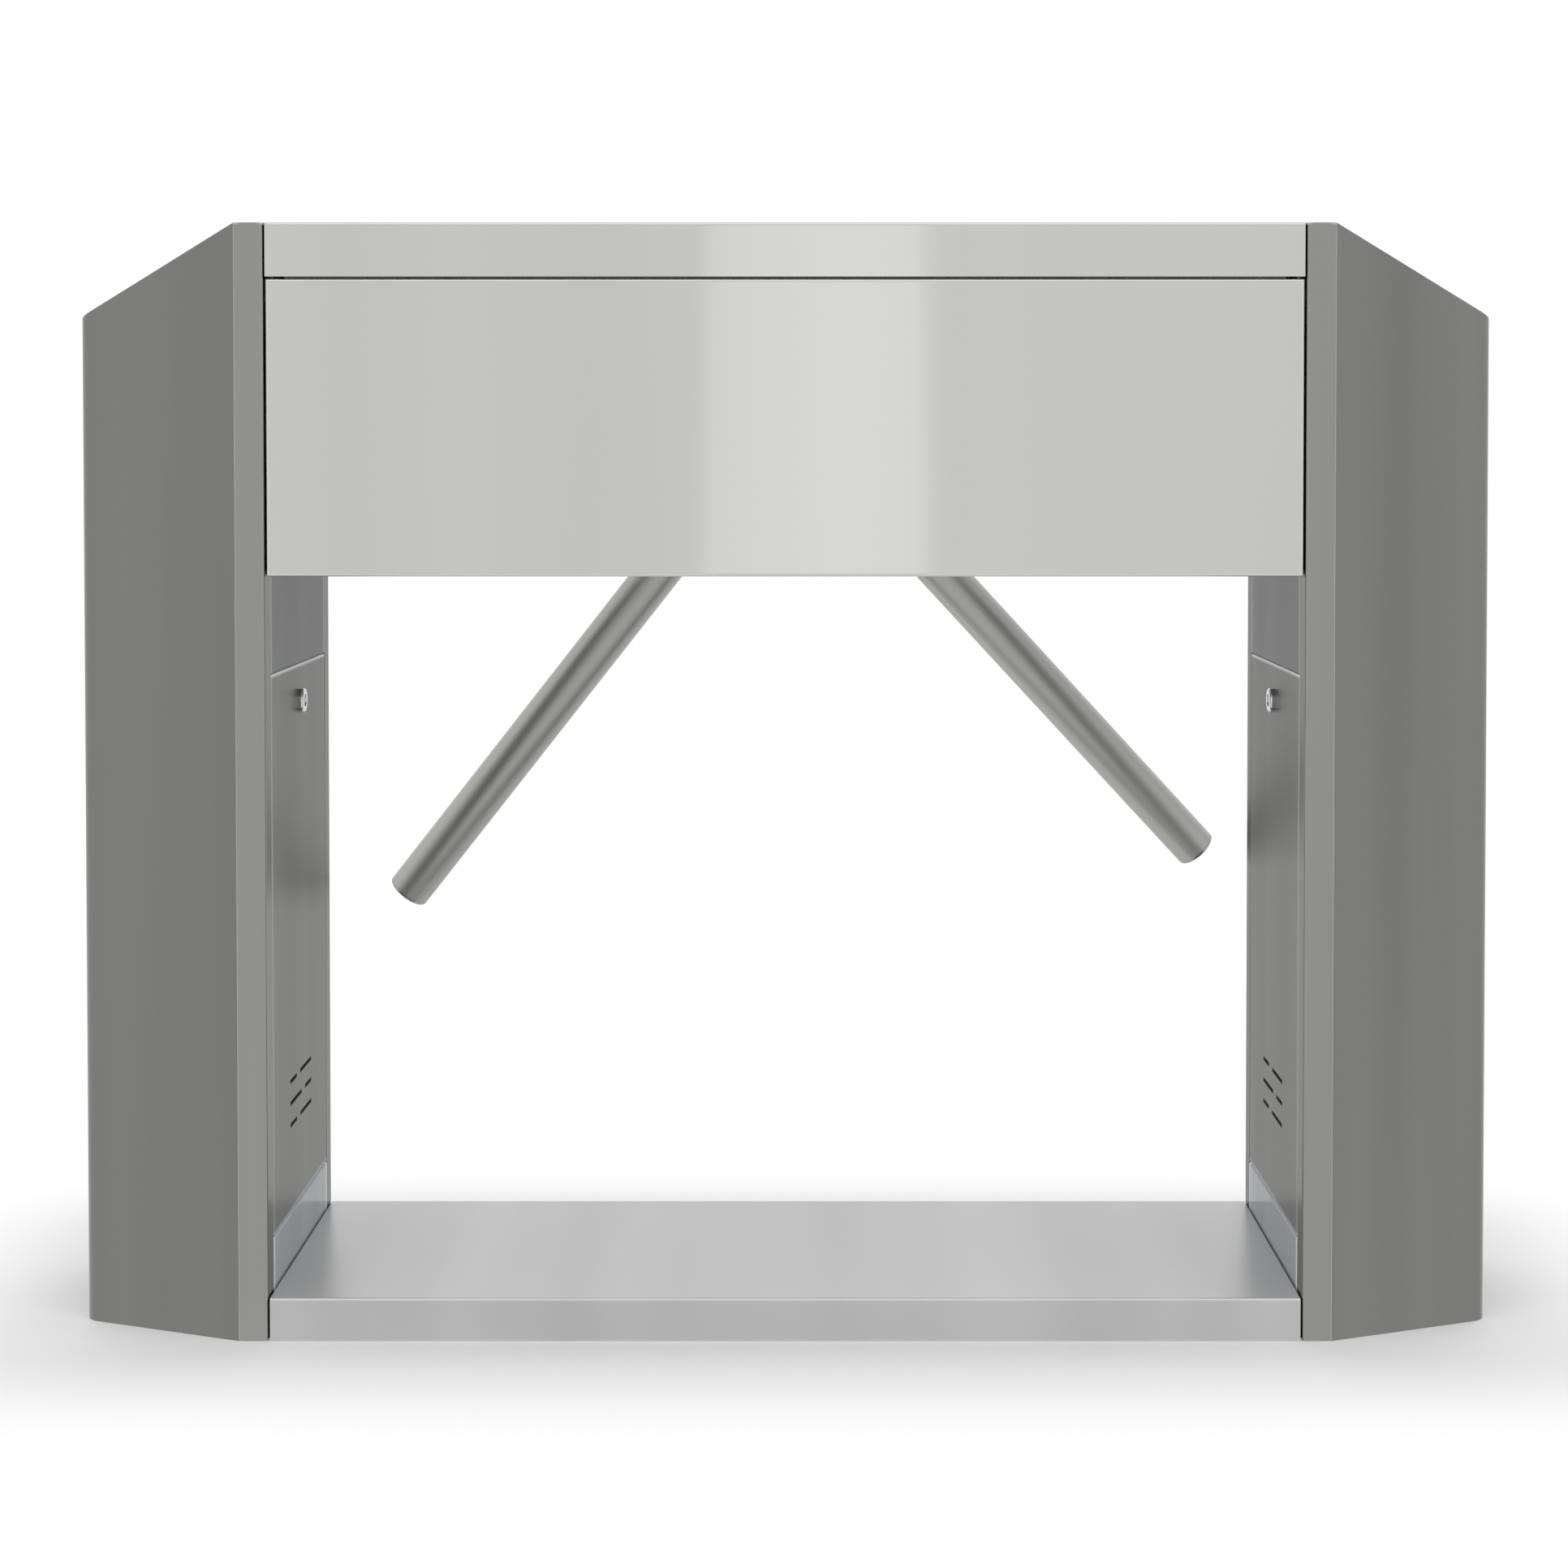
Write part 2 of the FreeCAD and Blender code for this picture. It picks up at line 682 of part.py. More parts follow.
def door(side, sign):
    """A pan door with vents and two tongues in the lower panel's slots; it tilts on their shoulders."""
    label = f"{side}_door"
    lock_z = door_top - d.lock_drop
    block = box(f"{label}_block", (sign * half_gap, sign * (half_gap + d.door_depth)),
                (-panel_half, panel_half), (d.door_bottom, door_top))
    bent = rounded(f"{label}_bent", block, d.panel_bend,
                   lambda edge: lies_at(edge, X_AXIS, sign * half_gap))
    hollow = box(f"{label}_hollow", (sign * skin_back, sign * (half_gap + d.door_depth + OVERCUT)),
                 (-panel_half + d.sheet, panel_half - d.sheet),
                 (d.door_bottom + d.sheet, door_top - d.sheet))
    skin = (sign * (half_gap - OVERCUT), sign * (skin_back + OVERCUT))
    openings = [rod(f"{label}_lock_hole", d.barrel_radius + d.hole_play, "x", skin, (0.0, lock_z))]
    for row in range(3):
        middle = d.door_bottom + d.vent_first - row * d.vent_pitch
        for number, (start, end) in enumerate(vent_spans(row)):
            openings.append(box(f"{label}_vent_{row}_{number}", skin, (-sign * start, -sign * end),
                                (middle - d.vent_height / 2, middle + d.vent_height / 2)))
    pan = cut(f"{label}_pan", bent, hollow, *openings)
    tongue_start = skin_back + d.tongue_inset
    tongues = []
    for end in (-1, 1):
        middle = end * d.tongue_offset
        thick = (sign * tongue_start, sign * (tongue_start + d.sheet))
        half = d.tongue_width / 2
        wide = half + d.tongue_play + d.tongue_shoulder
        tongues.append(box(f"{label}_tongue_{end + 1}", thick, (middle - half, middle + half),
                           (d.door_bottom - d.tongue_length, d.door_bottom + d.sheet)))
        tongues.append(box(f"{label}_shoulder_{end + 1}", thick, (middle - wide, middle + wide),
                           (d.door_bottom - d.seam, d.door_bottom + d.sheet)))
    keep(fuse(f"{label}_folded", pan, *tongues), label)


def door_lock(side, sign):
    """A cam lock: a barrel clamped in the door and the key plug that turns its cam."""
    label = f"{side}_lock"
    lock_z = door_top - d.lock_drop
    centre = (0.0, lock_z)
    face = half_gap - d.lock_proud
    barrel_end = skin_back + d.barrel_length
    knob = rod(f"{label}_knob", d.lock_radius, "x", (sign * face, sign * half_gap), centre)
    eased = rounded(f"{label}_eased", knob, d.sheet, lambda edge: lies_at(edge, X_AXIS, sign * face))
    barrel = rod(f"{label}_barrel", d.barrel_radius, "x", (sign * half_gap, sign * barrel_end), centre)
    nut = rod(f"{label}_nut", d.lock_nut_radius, "x",
              (sign * skin_back, sign * (skin_back + d.lock_nut)), centre)
    bore = rod(f"{label}_bore", d.plug_radius + d.hinge_play, "x",
               (sign * (face - OVERCUT), sign * (barrel_end + OVERCUT)), centre)
    keep(cut(f"{label}_bored", fuse(f"{label}_solid", eased, barrel, nut), bore), f"{side}_lock_body")
    cam_start = barrel_end + d.trim_gap
    cam_end = cam_start + d.cam_thickness
    plug = rod(f"{label}_plug", d.plug_radius, "x", (sign * (face + d.plug_recess), sign * cam_end), centre)
    cam = box(f"{label}_cam", (sign * cam_start, sign * cam_end), (-d.cam_width / 2, d.cam_length),
              (lock_z - d.cam_width / 2, lock_z + d.cam_width / 2))
    slot = box(f"{label}_keyway", (sign * (face - OVERCUT), sign * (face + d.plug_recess + d.sheet)),
               (-d.keyway / 2, d.keyway / 2), (lock_z - d.keyway_height / 2, lock_z + d.keyway_height / 2))
    keep(cut(f"{label}_cut_key", fuse(f"{label}_turning", plug, cam), slot), f"{side}_lock_cylinder")


# Base tray

def base_tray():
    """A floor pan with two rails, under a lift-off cover that hides the cable run."""
    reach = half_depth - d.sheet - d.trim_gap
    pan = box("base_pan_plate", (-half_gap, half_gap), (-reach, reach), (0, d.sheet))
    rails = []
    for face, facing in FACES.items():
        outer = half_depth - d.sheet - d.base_rail_inset
        rails.append(box(f"base_{face}_rail", (-beam_half, beam_half),
                         (facing * (outer - d.sheet), facing * outer), (0, d.base_height - d.sheet)))
    keep(fuse("base_pan_folded", pan, *rails), "base_pan")
    block = box("base_cover_block", (-beam_half, beam_half), (-half_depth, half_depth), (0, d.base_height))
    bent = rounded("base_cover_bent", block, d.bend,
                   lambda edge: along(edge, X_AXIS) and lies_at(edge, Z_AXIS, d.base_height))
    hollow = box("base_cover_hollow", (-half_gap, half_gap), (-(half_depth - d.sheet), half_depth - d.sheet),
                 (-OVERCUT, d.base_height - d.sheet))
    keep(cut("base_cover_folded", bent, hollow), "base_cover")


# Beam

floor_low = beam_bottom + d.sheet
floor_top = floor_low + d.beam_plate
panel_top = d.cabinet_height - d.lid_lip - d.lid_gap
lid_low = d.cabinet_height - d.lid_lip


def beam_floor():
    """The beam's load plate, bolted to the columns by its upturned ends."""
    reach = half_depth - d.sheet - d.trim_gap
    between = half_depth - d.pan_depth - d.trim_gap
    tucked = beam_half - d.sheet - d.trim_gap
    pieces = [box("beam_floor_plate", (-half_gap, half_gap), (-between, between), (floor_low, floor_top)),
              box("beam_floor_edges", (-tucked, tucked), (-reach, reach), (floor_low, floor_top))]
    holes = []
    for side, sign in SIDES.items():
        flange_x = half_gap - d.beam_plate
        pieces.append(box(f"beam_floor_{side}_end", (sign * flange_x, sign * half_gap),
                          (-d.end_flange / 2, d.end_flange / 2),
                          (floor_low, d.cabinet_height - d.sheet)))
        holes += bolt_holes(f"beam_floor_{side}", sign, (flange_x - OVERCUT, half_gap + OVERCUT))
        for number, place in enumerate(frame_screw_places(sign)):
            holes.append(rod(f"beam_floor_{side}_frame_{number}", d.bolt_radius + d.hole_play, "z",
                             (floor_low - OVERCUT, floor_top + OVERCUT), place))
    keep(cut("beam_floor_drilled", fuse("beam_floor_folded", *pieces), *holes), "beam_floor")


def beam_pan(label, facing):
    """A pan panel that closes the beam's front or back."""
    skin_y = facing * half_depth
    block = box(f"{label}_block", (-beam_half, beam_half), (skin_y, facing * (half_depth - d.pan_depth)),
                (beam_bottom, panel_top))
    bent = rounded(f"{label}_bent", block, d.bend, lambda edge: lies_at(edge, Y_AXIS, skin_y))
    hollow = box(f"{label}_hollow", (-beam_half + d.sheet, beam_half - d.sheet),
                 (facing * (half_depth - d.sheet), facing * (half_depth - d.pan_depth - OVERCUT)),
                 (beam_bottom + d.sheet, panel_top - d.sheet))
    return cut(f"{label}_pan", bent, hollow)


def beam_panels():
    keep(beam_pan("beam_front_panel", -1), "beam_front_panel")
    passage = rod("beam_back_panel_passage", d.sleeve_radius + d.wall_hole_gap, "z",
                  (0.0, d.plate_height), CENTRE)
    tilted = on_shaft(group("beam_back_panel_tilted", passage))
    keep(cut("beam_back_panel_open", beam_pan("beam_back_pan", 1), tilted), "beam_back_panel")


def beam_lid():
    """The lid, a shallow channel whose lips hang over the panels' top edges."""
    block = box("beam_lid_block", (-beam_half, beam_half), (-half_depth, half_depth),
                (lid_low, d.cabinet_height))
    bent = rounded("beam_lid_bent", block, d.bend,
                   lambda edge: along(edge, X_AXIS) and lies_at(edge, Z_AXIS, d.cabinet_height))
    hollow = box("beam_lid_hollow", (-half_gap, half_gap), (-(half_depth - d.sheet), half_depth - d.sheet),
                 (lid_low - OVERCUT, d.cabinet_height - d.sheet))
    keep(cut("beam_lid_folded", bent, hollow), "beam_lid")


def lid_hinges():
    """Two butt hinges on the back: leaf and pin on the panel, wing on the lid."""
    axis_y = half_depth + d.hinge_radius
    axis_z = (panel_top + lid_low) / 2
    leaf_ys = (half_depth, half_depth + d.sheet)
    leaves = []
    wings = []
    for side, sign in SIDES.items():
        middle = sign * d.hinge_offset
        ends = (middle - d.hinge_length / 2, middle + d.hinge_length / 2)
        knuckle = (middle - d.hinge_knuckle / 2, middle + d.hinge_knuckle / 2)
        clear = (knuckle[0] - d.trim_gap, knuckle[1] + d.trim_gap)
        name = f"{side}_hinge"
        room = d.hinge_radius + d.trim_gap
        leaf = box(f"{name}_leaf", ends, leaf_ys, (axis_z - d.hinge_leaf, axis_z - d.hinge_radius / 2))
        outer = rod(f"{name}_outer_knuckles", d.hinge_radius, "x", ends, (axis_y, axis_z))
        gap = rod(f"{name}_gap", room, "x", clear, (axis_y, axis_z))
        pin = rod(f"{name}_pin", d.hinge_pin, "x", ends, (axis_y, axis_z))
        fixed = cut(f"{name}_slotted", fuse(f"{name}_rolled", leaf, outer), gap)
        leaves.append(fuse(f"{name}_fixed", fixed, pin))
        wing = box(f"{name}_wing", ends, leaf_ys, (axis_z + d.hinge_radius / 2, axis_z + d.hinge_leaf))
        beside = [(ends[0] - OVERCUT, knuckle[0]), (knuckle[1], ends[1] + OVERCUT)]
        rooms = [rod(f"{name}_room_{number}", room, "x", place, (axis_y, axis_z))
                 for number, place in enumerate(beside)]
        inner = rod(f"{name}_knuckle", d.hinge_radius, "x", knuckle, (axis_y, axis_z))
        bore = rod(f"{name}_bore", d.hinge_pin + d.hinge_play, "x",
                   (ends[0] - OVERCUT, ends[1] + OVERCUT), (axis_y, axis_z))
        cleared = cut(f"{name}_wing_cleared", wing, *rooms)
        wings.append(cut(f"{name}_moving", fuse(f"{name}_wing_rolled", cleared, inner), bore))
    keep(group("lid_hinge_leaf_pair", *leaves), "lid_hinge_leaves")
    keep(group("lid_hinge_wing_pair", *wings), "lid_hinge_wings")


def beam_bolts():
    """Bolts and nuts that tie the beam's ends to the columns."""
    bolts = []
    for side, sign in SIDES.items():
        near = half_gap - d.beam_plate
        for number, place in enumerate(bolt_places()):
            name = f"{side}_beam_bolt_{number}"
            head = rod(f"{name}_head", d.bolt_head_radius, "x",
                       (sign * (near - d.bolt_head), sign * near), place)
            shank = rod(f"{name}_shank", d.bolt_radius, "x", (sign * near, sign * skin_back), place)
            nut = rod(f"{name}_nut", d.bolt_head_radius, "x",
                      (sign * skin_back, sign * (skin_back + d.bolt_head)), place)
            bolts.append(fuse(name, head, shank, nut))
    keep(group("beam_bolt_group", *bolts), "beam_bolts")


# Mechanism. Pieces are made upright, with z along the shaft from the apex into the beam and y up
# the sloping plate, and on_shaft leans them into place.

plate_back = d.plate_height + d.plate_thickness
housing_back = plate_back + d.housing_flange
apex_y = half_depth + d.apex_offset
apex_z = d.cabinet_height - d.apex_drop
pinion_drop = d.gear_module * (d.gear_teeth + d.pinion_teeth) / 2
disc_end = d.disc_start + d.disc_thickness


def on_shaft(made):
    made.Placement = FreeCAD.Placement(FreeCAD.Vector(), FreeCAD.Rotation(X_AXIS, 1))
    bind(made, "Placement.Rotation.Angle", d.shaft_tilt)
    bind(made, "Placement.Base.y", apex_y)
    bind(made, "Placement.Base.z", apex_z)
    return made


def frame_screw_places(sign):
    """Screws through the mechanism frame's feet, in plan."""
    x = sign * (d.plate_half_width - d.cheek - d.frame_foot / 2)
    return [(x, step * d.frame_screw_pitch) for step in (-1, 0, 1)]


def mechanism_frame():
    """A sloping plate on two cheeks whose feet stand on the beam floor."""
    slab = box("mechanism_slab", (-d.plate_half_width, d.plate_half_width), (-d.plate_low, d.plate_top),
               (d.plate_height, plate_back))
    rise = d.shaft_tilt.sine()
    lead = d.shaft_tilt.cosine()
    back_y = apex_y + d.plate_top * lead - d.plate_height * rise
    back_z = apex_z + d.plate_top * rise + d.plate_height * lead
    front_y = apex_y - d.plate_low * lead - d.plate_height * rise
    front_z = apex_z - d.plate_low * rise + d.plate_height * lead
    pieces = [on_shaft(group("mechanism_sloping", slab))]
    for side, sign in SIDES.items():
        cheek = doc.addObject("PartDesign::Body", f"mechanism_{side}_cheek")
        corners = [(front_y, floor_top), (back_y, floor_top), (back_y, back_z), (front_y, front_z)]
        sketch = outline(cheek, "YZ_Plane", corners, sign * d.plate_half_width)
        pad = cheek.newObject("PartDesign::Pad", f"mechanism_{side}_cheek_pad")
        pad.Profile = sketch
        pad.Reversed = sign > 0
        bind(pad, "Length", d.cheek)
        inner = d.plate_half_width - d.cheek
        reach = d.frame_screw_pitch + d.frame_foot / 2
        foot = box(f"mechanism_{side}_foot", (sign * (inner - d.frame_foot), sign * inner), (-reach, reach),
                   (floor_top, floor_top + d.cheek))
        holes = [rod(f"mechanism_{side}_foot_hole_{number}", d.bolt_radius + d.hole_play, "z",
                     (floor_top - OVERCUT, floor_top + d.cheek + OVERCUT), place)
                 for number, place in enumerate(frame_screw_places(sign))]
        pieces += [cheek, cut(f"mechanism_{side}_foot_drilled", foot, *holes)]
    through = (d.plate_height - OVERCUT, plate_back + OVERCUT)
    screw_bore = d.plate_screw_radius + d.hole_play
    bores = [rod("mechanism_sleeve_bore", d.sleeve_radius + d.hole_play, "z", through, CENTRE),
             rod("mechanism_pilot_bore", d.motor_pilot_radius + d.hole_play, "z", through,
                 (0.0, -pinion_drop))]
    for number, place in enumerate(plate_screw_places()):
        bores.append(rod(f"mechanism_screw_bore_{number}", screw_bore, "z", through, place))
    for side, sign in SIDES.items():
        bores.append(rod(f"mechanism_{side}_post_bore", d.pawl_post_radius + d.seat_gap, "z", through,
                         (sign * d.pawl_pivot_x, -d.pawl_pivot_drop)))
    drilled = on_shaft(fuse("mechanism_bores", *bores))
    keep(cut("mechanism_frame_drilled", fuse("mechanism_welded", *pieces), drilled), "mechanism_frame")


def frame_screws():
    screws = []
    for side, sign in SIDES.items():
        for number, place in enumerate(frame_screw_places(sign)):
            name = f"{side}_frame_screw_{number}"
            top = floor_top + d.cheek
            shank = rod(f"{name}_shank", d.bolt_radius, "z", (floor_low, top), place)
            head = rod(f"{name}_head", d.bolt_head_radius, "z", (top, top + d.bolt_head), place)
            screws.append(fuse(name, shank, head))
    keep(group("frame_screw_group", *screws), "frame_screws")


def housing_screw_places():
    heights = (-d.housing_screw_drop, d.housing_screw_rise)
    return [(x * d.housing_screw_x, y) for x in (-1, 1) for y in heights]


def motor_screw_places():
    reach = d.motor_screw_circle / math.sqrt(2)
    return [(x * reach, y * reach - pinion_drop) for x in (-1, 1) for y in (-1, 1)]


def plate_screw_places():
    return housing_screw_places() + motor_screw_places()


def plate_screws():
    """Low-head screws: through the housing flange, and through the plate into the motor."""
    screws = []
    ends = [(d.plate_height, housing_back)] * 4 + [(d.plate_height - d.plate_thickness, plate_back)] * 4
    for number, (place, (low, top)) in enumerate(zip(plate_screw_places(), ends)):
        shank = rod(f"plate_screw_{number}_shank", d.plate_screw_radius, "z", (low, top), place)
        head = rod(f"plate_screw_{number}_head", d.plate_screw_head_radius, "z",
                   (top, top + d.plate_screw_head), place)
        screws.append(fuse(f"plate_screw_{number}", shank, head))
    keep(on_shaft(group("plate_screw_group", *screws)), "plate_screws")


def bearing_housing():
    """The flanged sleeve that carries both bearings, from the sloping plate out to the hub."""
    sleeve = rod("housing_sleeve", d.sleeve_radius, "z", (d.sleeve_start, housing_back), CENTRE)
    flange = box("housing_flange_block", (-d.housing_half_width, d.housing_half_width),
                 (-d.housing_drop, d.housing_rise), (plate_back, housing_back))
    eased = rounded("housing_flange_eased", flange, d.housing_corner, lambda edge: along(edge, Z_AXIS))
    seat = d.bearing_radius + d.seat_gap
    front_end = d.sleeve_start + d.bearing_recess + d.bearing_width
    front_face = d.sleeve_start - OVERCUT
    back_face = housing_back + OVERCUT
    tools = [rod("housing_bore", d.sleeve_bore, "z", (front_face, back_face), CENTRE),
             rod("housing_front_seat", seat, "z", (front_face, front_end), CENTRE),
             rod("housing_rear_seat", seat, "z", (housing_back - d.bearing_width, back_face), CENTRE)]
    for number, place in enumerate(housing_screw_places()):
        tools.append(rod(f"housing_screw_hole_{number}", d.plate_screw_radius + d.hole_play, "z",
                         (plate_back - OVERCUT, housing_back + OVERCUT), place))
    keep(on_shaft(cut("housing_bored", fuse("housing_solid", sleeve, eased), *tools)), "bearing_housing")
    starts = {"front_bearing": front_end - d.bearing_width, "rear_bearing": housing_back - d.bearing_width}
    for label, start in starts.items():
        ring = turned(f"{label}_ring", tube(d.bearing_radius, d.shaft_radius + d.running_gap,
                                            start, start + d.bearing_width))
        keep(on_shaft(ring), label)


def sleeve_seal():
    """A rubber gasket on the back panel, cut to the leaning sleeve."""
    outside = rod("seal_outside", d.seal_radius, "z", (0.0, d.plate_height), CENTRE)
    tilted = on_shaft(group("seal_tilted", outside))
    reach = d.seal_radius * 2
    slab = box("seal_slab", (-reach, reach), (half_depth, half_depth + d.seal_thickness),
               (apex_z, d.cabinet_height))
    inside = rod("seal_inside", d.sleeve_radius + d.seal_gap, "z", (0.0, d.plate_height), CENTRE)
    bore = on_shaft(group("seal_bore", inside))
    keep(cut("seal_ring", common("seal_blank", slab, tilted), bore), "sleeve_seal")


def arm_turn(number):
    """The turn that points z along an arm: out of the apex, on the cone about the shaft."""
    about = FreeCAD.Rotation(Z_AXIS, -(float(d.arm_phase) + number * 120))
    return about.multiply(FreeCAD.Rotation(X_AXIS, float(d.arm_cone) - 180))


def along_arm(made, number):
    """Places a piece that was made along z on one of the arms, in the shaft's own frame."""
    made.Placement = FreeCAD.Placement(FreeCAD.Vector(), arm_turn(number))
    return made


def lean(made, number):
    """Places a piece that was made along z on one of the arms, in the cabinet."""
    turn = FreeCAD.Rotation(X_AXIS, float(d.shaft_tilt)).multiply(arm_turn(number))
    made.Placement = FreeCAD.Placement(FreeCAD.Vector(), turn)
    bind(made, "Placement.Base.y", apex_y)
    bind(made, "Placement.Base.z", apex_z)
    return made


def hub():
    """The cast head: a turned core with a boss and a spigot for each arm."""
    profile = [(0.0, -d.hub_front), (d.hub_nose_radius, -d.hub_front), (d.hub_radius, -d.hub_shoulder),
               (d.hub_radius, d.hub_back), (0.0, d.hub_back)]
    pieces = [turned("hub_core", profile)]
    holes = []
    spigot_radius = d.arm_radius - d.arm_wall - d.trim_gap
    spigot_end = d.arm_start + d.spigot_length
    for number in range(3):
        arm = [(0.0, d.boss_start), (d.boss_radius, d.boss_start), (d.boss_radius, d.arm_start),
               (spigot_radius, d.arm_start), (spigot_radius, spigot_end), (0.0, spigot_end)]
        pieces.append(along_arm(turned(f"hub_boss_{number + 1}", arm), number))
        hole = rod(f"hub_arm_hole_{number + 1}", d.arm_screw_radius + d.hole_play, "y",
                   (0.0, d.arm_radius + OVERCUT), (0.0, d.arm_start + d.arm_screw_place))
        holes.append(along_arm(group(f"hub_arm_drill_{number + 1}", hole), number))
    holes.append(rod("hub_socket_bore", d.shaft_radius + d.seat_gap, "z",
                     (d.hub_back - d.hub_socket, d.hub_back + OVERCUT), CENTRE))
    holes.append(rod("hub_screw_bore", d.hub_screw_radius + d.hole_play, "z",
                     (-d.hub_front - OVERCUT, d.hub_back), CENTRE))
    holes.append(rod("hub_counterbore", d.hub_screw_head_radius + d.hole_play, "z",
                     (-d.hub_front - OVERCUT, d.hub_screw_head - d.hub_front), CENTRE))
    keep(on_shaft(cut("hub_bored", fuse("hub_cast", *pieces), *holes)), "hub")


def arms():
    """Three tubes with a flat cap each, fixed to the hub's spigots by a set screw."""
    tube_end = d.arm_reach - d.cap_thickness
    bore = d.arm_radius - d.arm_wall
    caps = []
    screws = []
    for number in range(3):
        name = f"barrier_arm_{number + 1}"
        pipe = turned(f"{name}_tube", tube(d.arm_radius, bore, d.arm_start, tube_end))
        hole = rod(f"{name}_hole", d.arm_screw_radius + d.hole_play, "y", (0.0, d.arm_radius + OVERCUT),
                   (0.0, d.arm_start + d.arm_screw_place))
        keep(lean(cut(f"{name}_drilled", pipe, hole), number), name)
        chamfer = d.cap_thickness / 3
        plug = bore - d.trim_gap
        profile = [(0.0, tube_end - d.cap_plug), (plug, tube_end - d.cap_plug), (plug, tube_end),
                   (d.arm_radius, tube_end), (d.arm_radius, d.arm_reach - chamfer),
                   (d.arm_radius - chamfer, d.arm_reach), (0.0, d.arm_reach)]
        caps.append(lean(turned(f"arm_cap_{number + 1}", profile), number))
        screw = rod(f"arm_screw_{number + 1}", d.arm_screw_radius, "y",
                    (d.arm_radius - d.arm_screw_length, d.arm_radius - d.trim_gap),
                    (0.0, d.arm_start + d.arm_screw_place))
        screws.append(lean(group(f"arm_screw_{number + 1}_set", screw), number))
    keep(group("arm_cap_group", *caps), "arm_caps")
    keep(group("hub_screw_group", hub_screw(), *screws), "hub_screws")


def hub_screw():
    """The screw that clamps the hub on the shaft's end."""
    head_back = d.hub_screw_head - d.hub_front
    tip = head_back + d.hub_screw_length
    shank = rod("hub_screw_shank", d.hub_screw_radius, "z", (head_back, tip), CENTRE)
    head = rod("hub_screw_cap", d.hub_screw_head_radius, "z", (-d.hub_front, head_back), CENTRE)
    return on_shaft(fuse("hub_centre_screw", shank, head))


def main_shaft():
    tapped = rod("shaft_tapped_hole", d.hub_screw_radius + d.hole_play, "z",
                 (d.hub_back - d.hub_socket - OVERCUT, d.hub_screw_length), CENTRE)
    bar = rod("shaft_bar", d.shaft_radius, "z", (d.hub_back - d.hub_socket, d.shaft_end), CENTRE)
    keep(on_shaft(cut("shaft_drilled", bar, tapped)), "main_shaft")
    magnet = rod("magnet_button", d.magnet_radius, "z", (d.shaft_end, d.shaft_end + d.magnet_length), CENTRE)
    keep(on_shaft(group("magnet_seated", magnet)), "sensor_magnet")


def involute(angle):
    return math.tan(angle) - angle


def gear_blank(teeth, low, high, turn):
    """A spur gear from involute flanks, with a tooth centred on the turn angle."""
    module = float(d.gear_module)
    pressure = math.radians(d.pressure_angle)
    pitch = module * teeth / 2
    base = pitch * math.cos(pressure)
    tip = pitch + 0.95 * module
    root = pitch - 1.25 * module
    half_tooth = math.pi / (2 * teeth) - float(d.backlash) / (4 * pitch)

    def at(radius, angle):
        return FreeCAD.Vector(radius * math.cos(angle), radius * math.sin(angle), float(low))

    def half_angle(radius):
        return half_tooth + involute(pressure) - involute(math.acos(min(1.0, base / radius)))

    start = max(base, root)
    steps = 5
    radii = [start + (tip - start) * step / steps for step in range(steps + 1)]
    edges = []
    for tooth in range(teeth):
        middle = turn + 2 * math.pi * tooth / teeth
        following = middle + 2 * math.pi / teeth
        rising = [at(radius, middle - half_angle(radius)) for radius in radii]
        falling = [at(radius, middle + half_angle(radius)) for radius in reversed(radii)]
        foot = half_angle(start)
        low_right = at(root, middle - foot)
        low_left = at(root, middle + foot)
        next_right = at(root, following - foot)
        if root < base:
            edges.append(Part.LineSegment(low_right, rising[0]).toShape())
        for points in (rising, falling):
            flank = Part.BSplineCurve()
            flank.interpolate(points)
            edges.append(flank.toShape())
            if points is rising:
                edges.append(Part.Arc(rising[-1], at(tip, middle), falling[0]).toShape())
        if root < base:
            edges.append(Part.LineSegment(falling[-1], low_left).toShape())
        edges.append(Part.Arc(low_left, at(root, (middle + following) / 2), next_right).toShape())
    face = Part.Face(Part.Wire(edges))
    return face.extrude(FreeCAD.Vector(0, 0, float(high - low)))


def gears():
    """The gear on the shaft and the motor's pinion, in mesh below the shaft."""
    gear_end = d.gear_start + d.gear_width
    down = -math.pi / 2
    wheel = doc.addObject("Part::Feature", "drive_gear_teeth")
    wheel.Shape = gear_blank(int(d.gear_teeth), d.gear_start, gear_end, down)
    boss = rod("drive_gear_boss", d.gear_boss_radius, "z",
               (housing_back + d.bearing_clear, d.disc_start), CENTRE)
    bore = rod("drive_gear_bore", d.shaft_radius + d.seat_gap, "z",
               (housing_back, d.disc_start + OVERCUT), CENTRE)
    keep(on_shaft(cut("drive_gear_bored", fuse("drive_gear_solid", wheel, boss), bore)), "drive_gear")
    small = doc.addObject("Part::Feature", "pinion_teeth")
    half_pitch = math.pi / float(d.pinion_teeth)
    small.Shape = gear_blank(int(d.pinion_teeth), d.gear_start, gear_end, half_pitch - down)
    small.Placement = FreeCAD.Placement(FreeCAD.Vector(0, -float(pinion_drop), 0), FreeCAD.Rotation())
    axle = rod("pinion_axle", d.motor_shaft_radius, "z",
               (d.plate_height - d.motor_shaft_depth, gear_end + d.sheet), (0.0, -pinion_drop))
    keep(on_shaft(fuse("pinion_solid", small, axle)), "drive_pinion")


